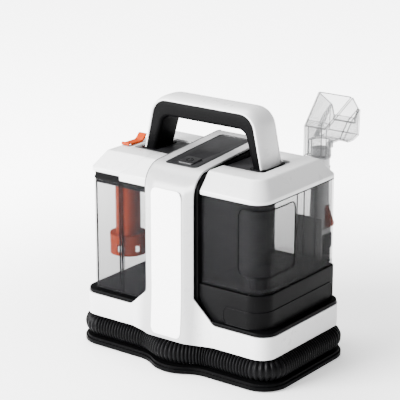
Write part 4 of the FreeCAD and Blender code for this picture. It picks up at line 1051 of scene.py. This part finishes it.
def corrugate(name, points, radius, pitch, depth, paint):
    """Ribbed tube swept along a path by a tree of geometry nodes."""
    curve = new_curve(name + "_path", 0.0, 4)
    line = add_line(curve, "NURBS", points)
    line.order_u = 3
    line.use_endpoint_u = True
    curve.resolution_u = 12
    path = linked(name + "_path", curve)
    tree = bpy.data.node_groups.new("corrugated_hose", "GeometryNodeTree")
    face = tree.interface
    face.new_socket("Geometry", in_out="INPUT", socket_type="NodeSocketGeometry")
    wanted = {"Radius": radius, "Pitch": pitch, "Depth": depth}
    inputs = {key: face.new_socket(key, in_out="INPUT", socket_type="NodeSocketFloat") for key in wanted}
    face.new_socket("Geometry", in_out="OUTPUT", socket_type="NodeSocketGeometry")

    def node(kind, settings=None, links=None):
        made = tree.nodes.new(kind)
        for key, value in (settings or {}).items():
            setattr(made, key, value)
        for key, value in (links or {}).items():
            if isinstance(value, bpy.types.NodeSocket):
                tree.links.new(value, made.inputs[key])
            else:
                made.inputs[key].default_value = value
        return made

    def maths(operation, first, second=0.0):
        return node("ShaderNodeMath", {"operation": operation}, {0: first, 1: second}).outputs[0]
    start = node("NodeGroupInput")
    step = maths("DIVIDE", start.outputs["Pitch"], 6.0)
    dense = node("GeometryNodeResampleCurve", {"mode": "LENGTH"},
                 {"Curve": start.outputs["Geometry"], "Length": step})
    run = node("GeometryNodeSplineParameter").outputs["Length"]
    wave = maths("COSINE", maths("MULTIPLY", maths("DIVIDE", run, start.outputs["Pitch"]), math.tau))
    valley = maths("POWER", maths("MULTIPLY", maths("SUBTRACT", 1.0, wave), 0.5), 1.6)
    size = maths("SUBTRACT", start.outputs["Radius"], maths("MULTIPLY", valley, start.outputs["Depth"]))
    ring = node("GeometryNodeCurvePrimitiveCircle", {"mode": "RADIUS"}, {"Resolution": 36, "Radius": 1.0})
    sized = node("GeometryNodeSetCurveRadius", {}, {"Curve": dense.outputs[0], "Radius": size})
    tube = node("GeometryNodeCurveToMesh", {}, {"Curve": sized.outputs[0], "Profile Curve": ring.outputs[0],
                                                "Fill Caps": True})
    if "Scale" in tube.inputs:
        tree.links.new(size, tube.inputs["Scale"])
    real = node("GeometryNodeRealizeInstances", {}, {"Geometry": tube.outputs[0]})
    painted = node("GeometryNodeSetMaterial", {}, {"Geometry": real.outputs[0], "Material": paint})
    end = node("NodeGroupOutput")
    tree.links.new(painted.outputs[0], end.inputs[0])
    ribs = path.modifiers.new("ribs", "NODES")
    ribs.node_group = tree
    for key, value in wanted.items():
        ribs[inputs[key].identifier] = value
    return as_mesh(name, path, 70)


def make_hose():
    hose = corrugate("suction_hose_ribbed", hose_route(), HOSE_RADIUS * MM, 5.4 * MM, 2.6 * MM, HOSE)
    finish(hose, HOSE, "chassis", "hose_plastic", "suction_hose")


# ---- decks, bay, column and the rest ---------------------------------------------------------------
def make_bay():
    cad_copy("pump_bay", BAY_BLACK, "black_plastic", 1.6 * MM, 3)
    low, high = low_high("pump_bay")
    walk, total = outline_walk(high[0], low[1], 29, start=92.0, end=high[1] - 10, count=60)
    panel, rim = wrapped_panel("pump_bay_panel", walk, total, low[2] + 1.5, low[2] + 27.0, 7.0, 0.7, 0.9 * MM)
    finish(panel, BAY_BLACK, "chassis", "black_plastic")
    bead = line_loop("pump_bay_panel_edge", rim, 0.6 * MM)
    finish(bead, GLOSS_BLACK, "chassis", "black_plastic")


def power_icon():
    low, high = low_high("power_button")
    centre_y = (low[1] + high[1]) / 2
    slope = SPINE_RISE / (SPINE_FRONT + SPINE_BACK)
    top = SPINE_TOP_FRONT + (centre_y + SPINE_FRONT) * slope + 0.8

    def on_top(x, y):
        return at(x, centre_y + y, top + y * slope + 0.05)
    turns = [math.radians(turn) for turn in range(40, 321, 10)]
    ring = [on_top(5.2 * math.sin(turn), 5.2 * math.cos(turn)) for turn in turns]
    arc = line_loop("power_icon_ring", ring, 0.45 * MM, closed=False)
    finish(arc, GLOSS_BLACK, "button", "black_plastic")
    bar = line_loop("power_icon_bar", [on_top(0, 1.4), on_top(0, 6.6)], 0.45 * MM, closed=False)
    finish(bar, GLOSS_BLACK, "button", "black_plastic")


def make_rest():
    cad_copy("foot_plate", BLACK, "black_plastic", 1.2 * MM, 3)
    for name in ("dirty_tank_deck", "clean_tank_deck"):
        cad_copy(name, BLACK, "black_plastic", 1.4 * MM, 3)
    for name in ("column_left", "column_right"):
        cad_copy(name, BLACK, "black_plastic", 1.2 * MM, 2)
    for name in ("handle_bridge_left", "handle_bridge_right"):
        cad_copy(name, GREY, "grey_panel", 0.8 * MM)
    cad_copy("control_panel", GREY, "grey_panel", 0.5 * MM)
    cad_copy("power_button", GREY, "grey_panel", 1.1 * MM, 3)
    power_icon()
    cad_copy("exhaust_grille", BLACK, "black_plastic", 0.5 * MM)
    cad_copy("hose_socket", BLACK, "black_plastic", 1.2 * MM)
    cad_copy("cord_gland", RUBBER, "rubber", 0.8 * MM)
    plain = {BLACK: ("hose_channel_wall", "motor_cradle", "fan_housing", "suction_duct", "water_pump",
                     "spray_valve", "clean_tank_valve"),
             RUBBER: ("rubber_feet", "dirty_tank_seal", "clean_tank_seal", "suction_port_seal"),
             STEEL: ("base_screws", "motor_can", "motor_shaft", "handle_screws", "latch_pin", "trigger_pin"),
             PALE: ("fan_wheel", "pump_rotor", "float_ball"),
             BOARD: ("control_board",), FOAM: ("exhaust_filter",)}
    for paint, names in plain.items():
        for name in names:
            paint_node(name, paint)


def make_floor():
    reach = 25
    corners = [(-reach, -reach, 0), (reach, -reach, 0), (reach, reach, 0), (-reach, reach, 0)]
    floor = build("floor", corners, [(0, 1, 2, 3)])
    floor.data.materials.append(make_floor_paint())


make_camera()
make_hose()
make_lights()
make_floor()
make_white_body()
make_front_strip()
make_spine_shadow_line()
make_caps()
make_handle()
make_clean_tank()
make_dirty_tank()
make_tool()
make_bay()
make_rest()
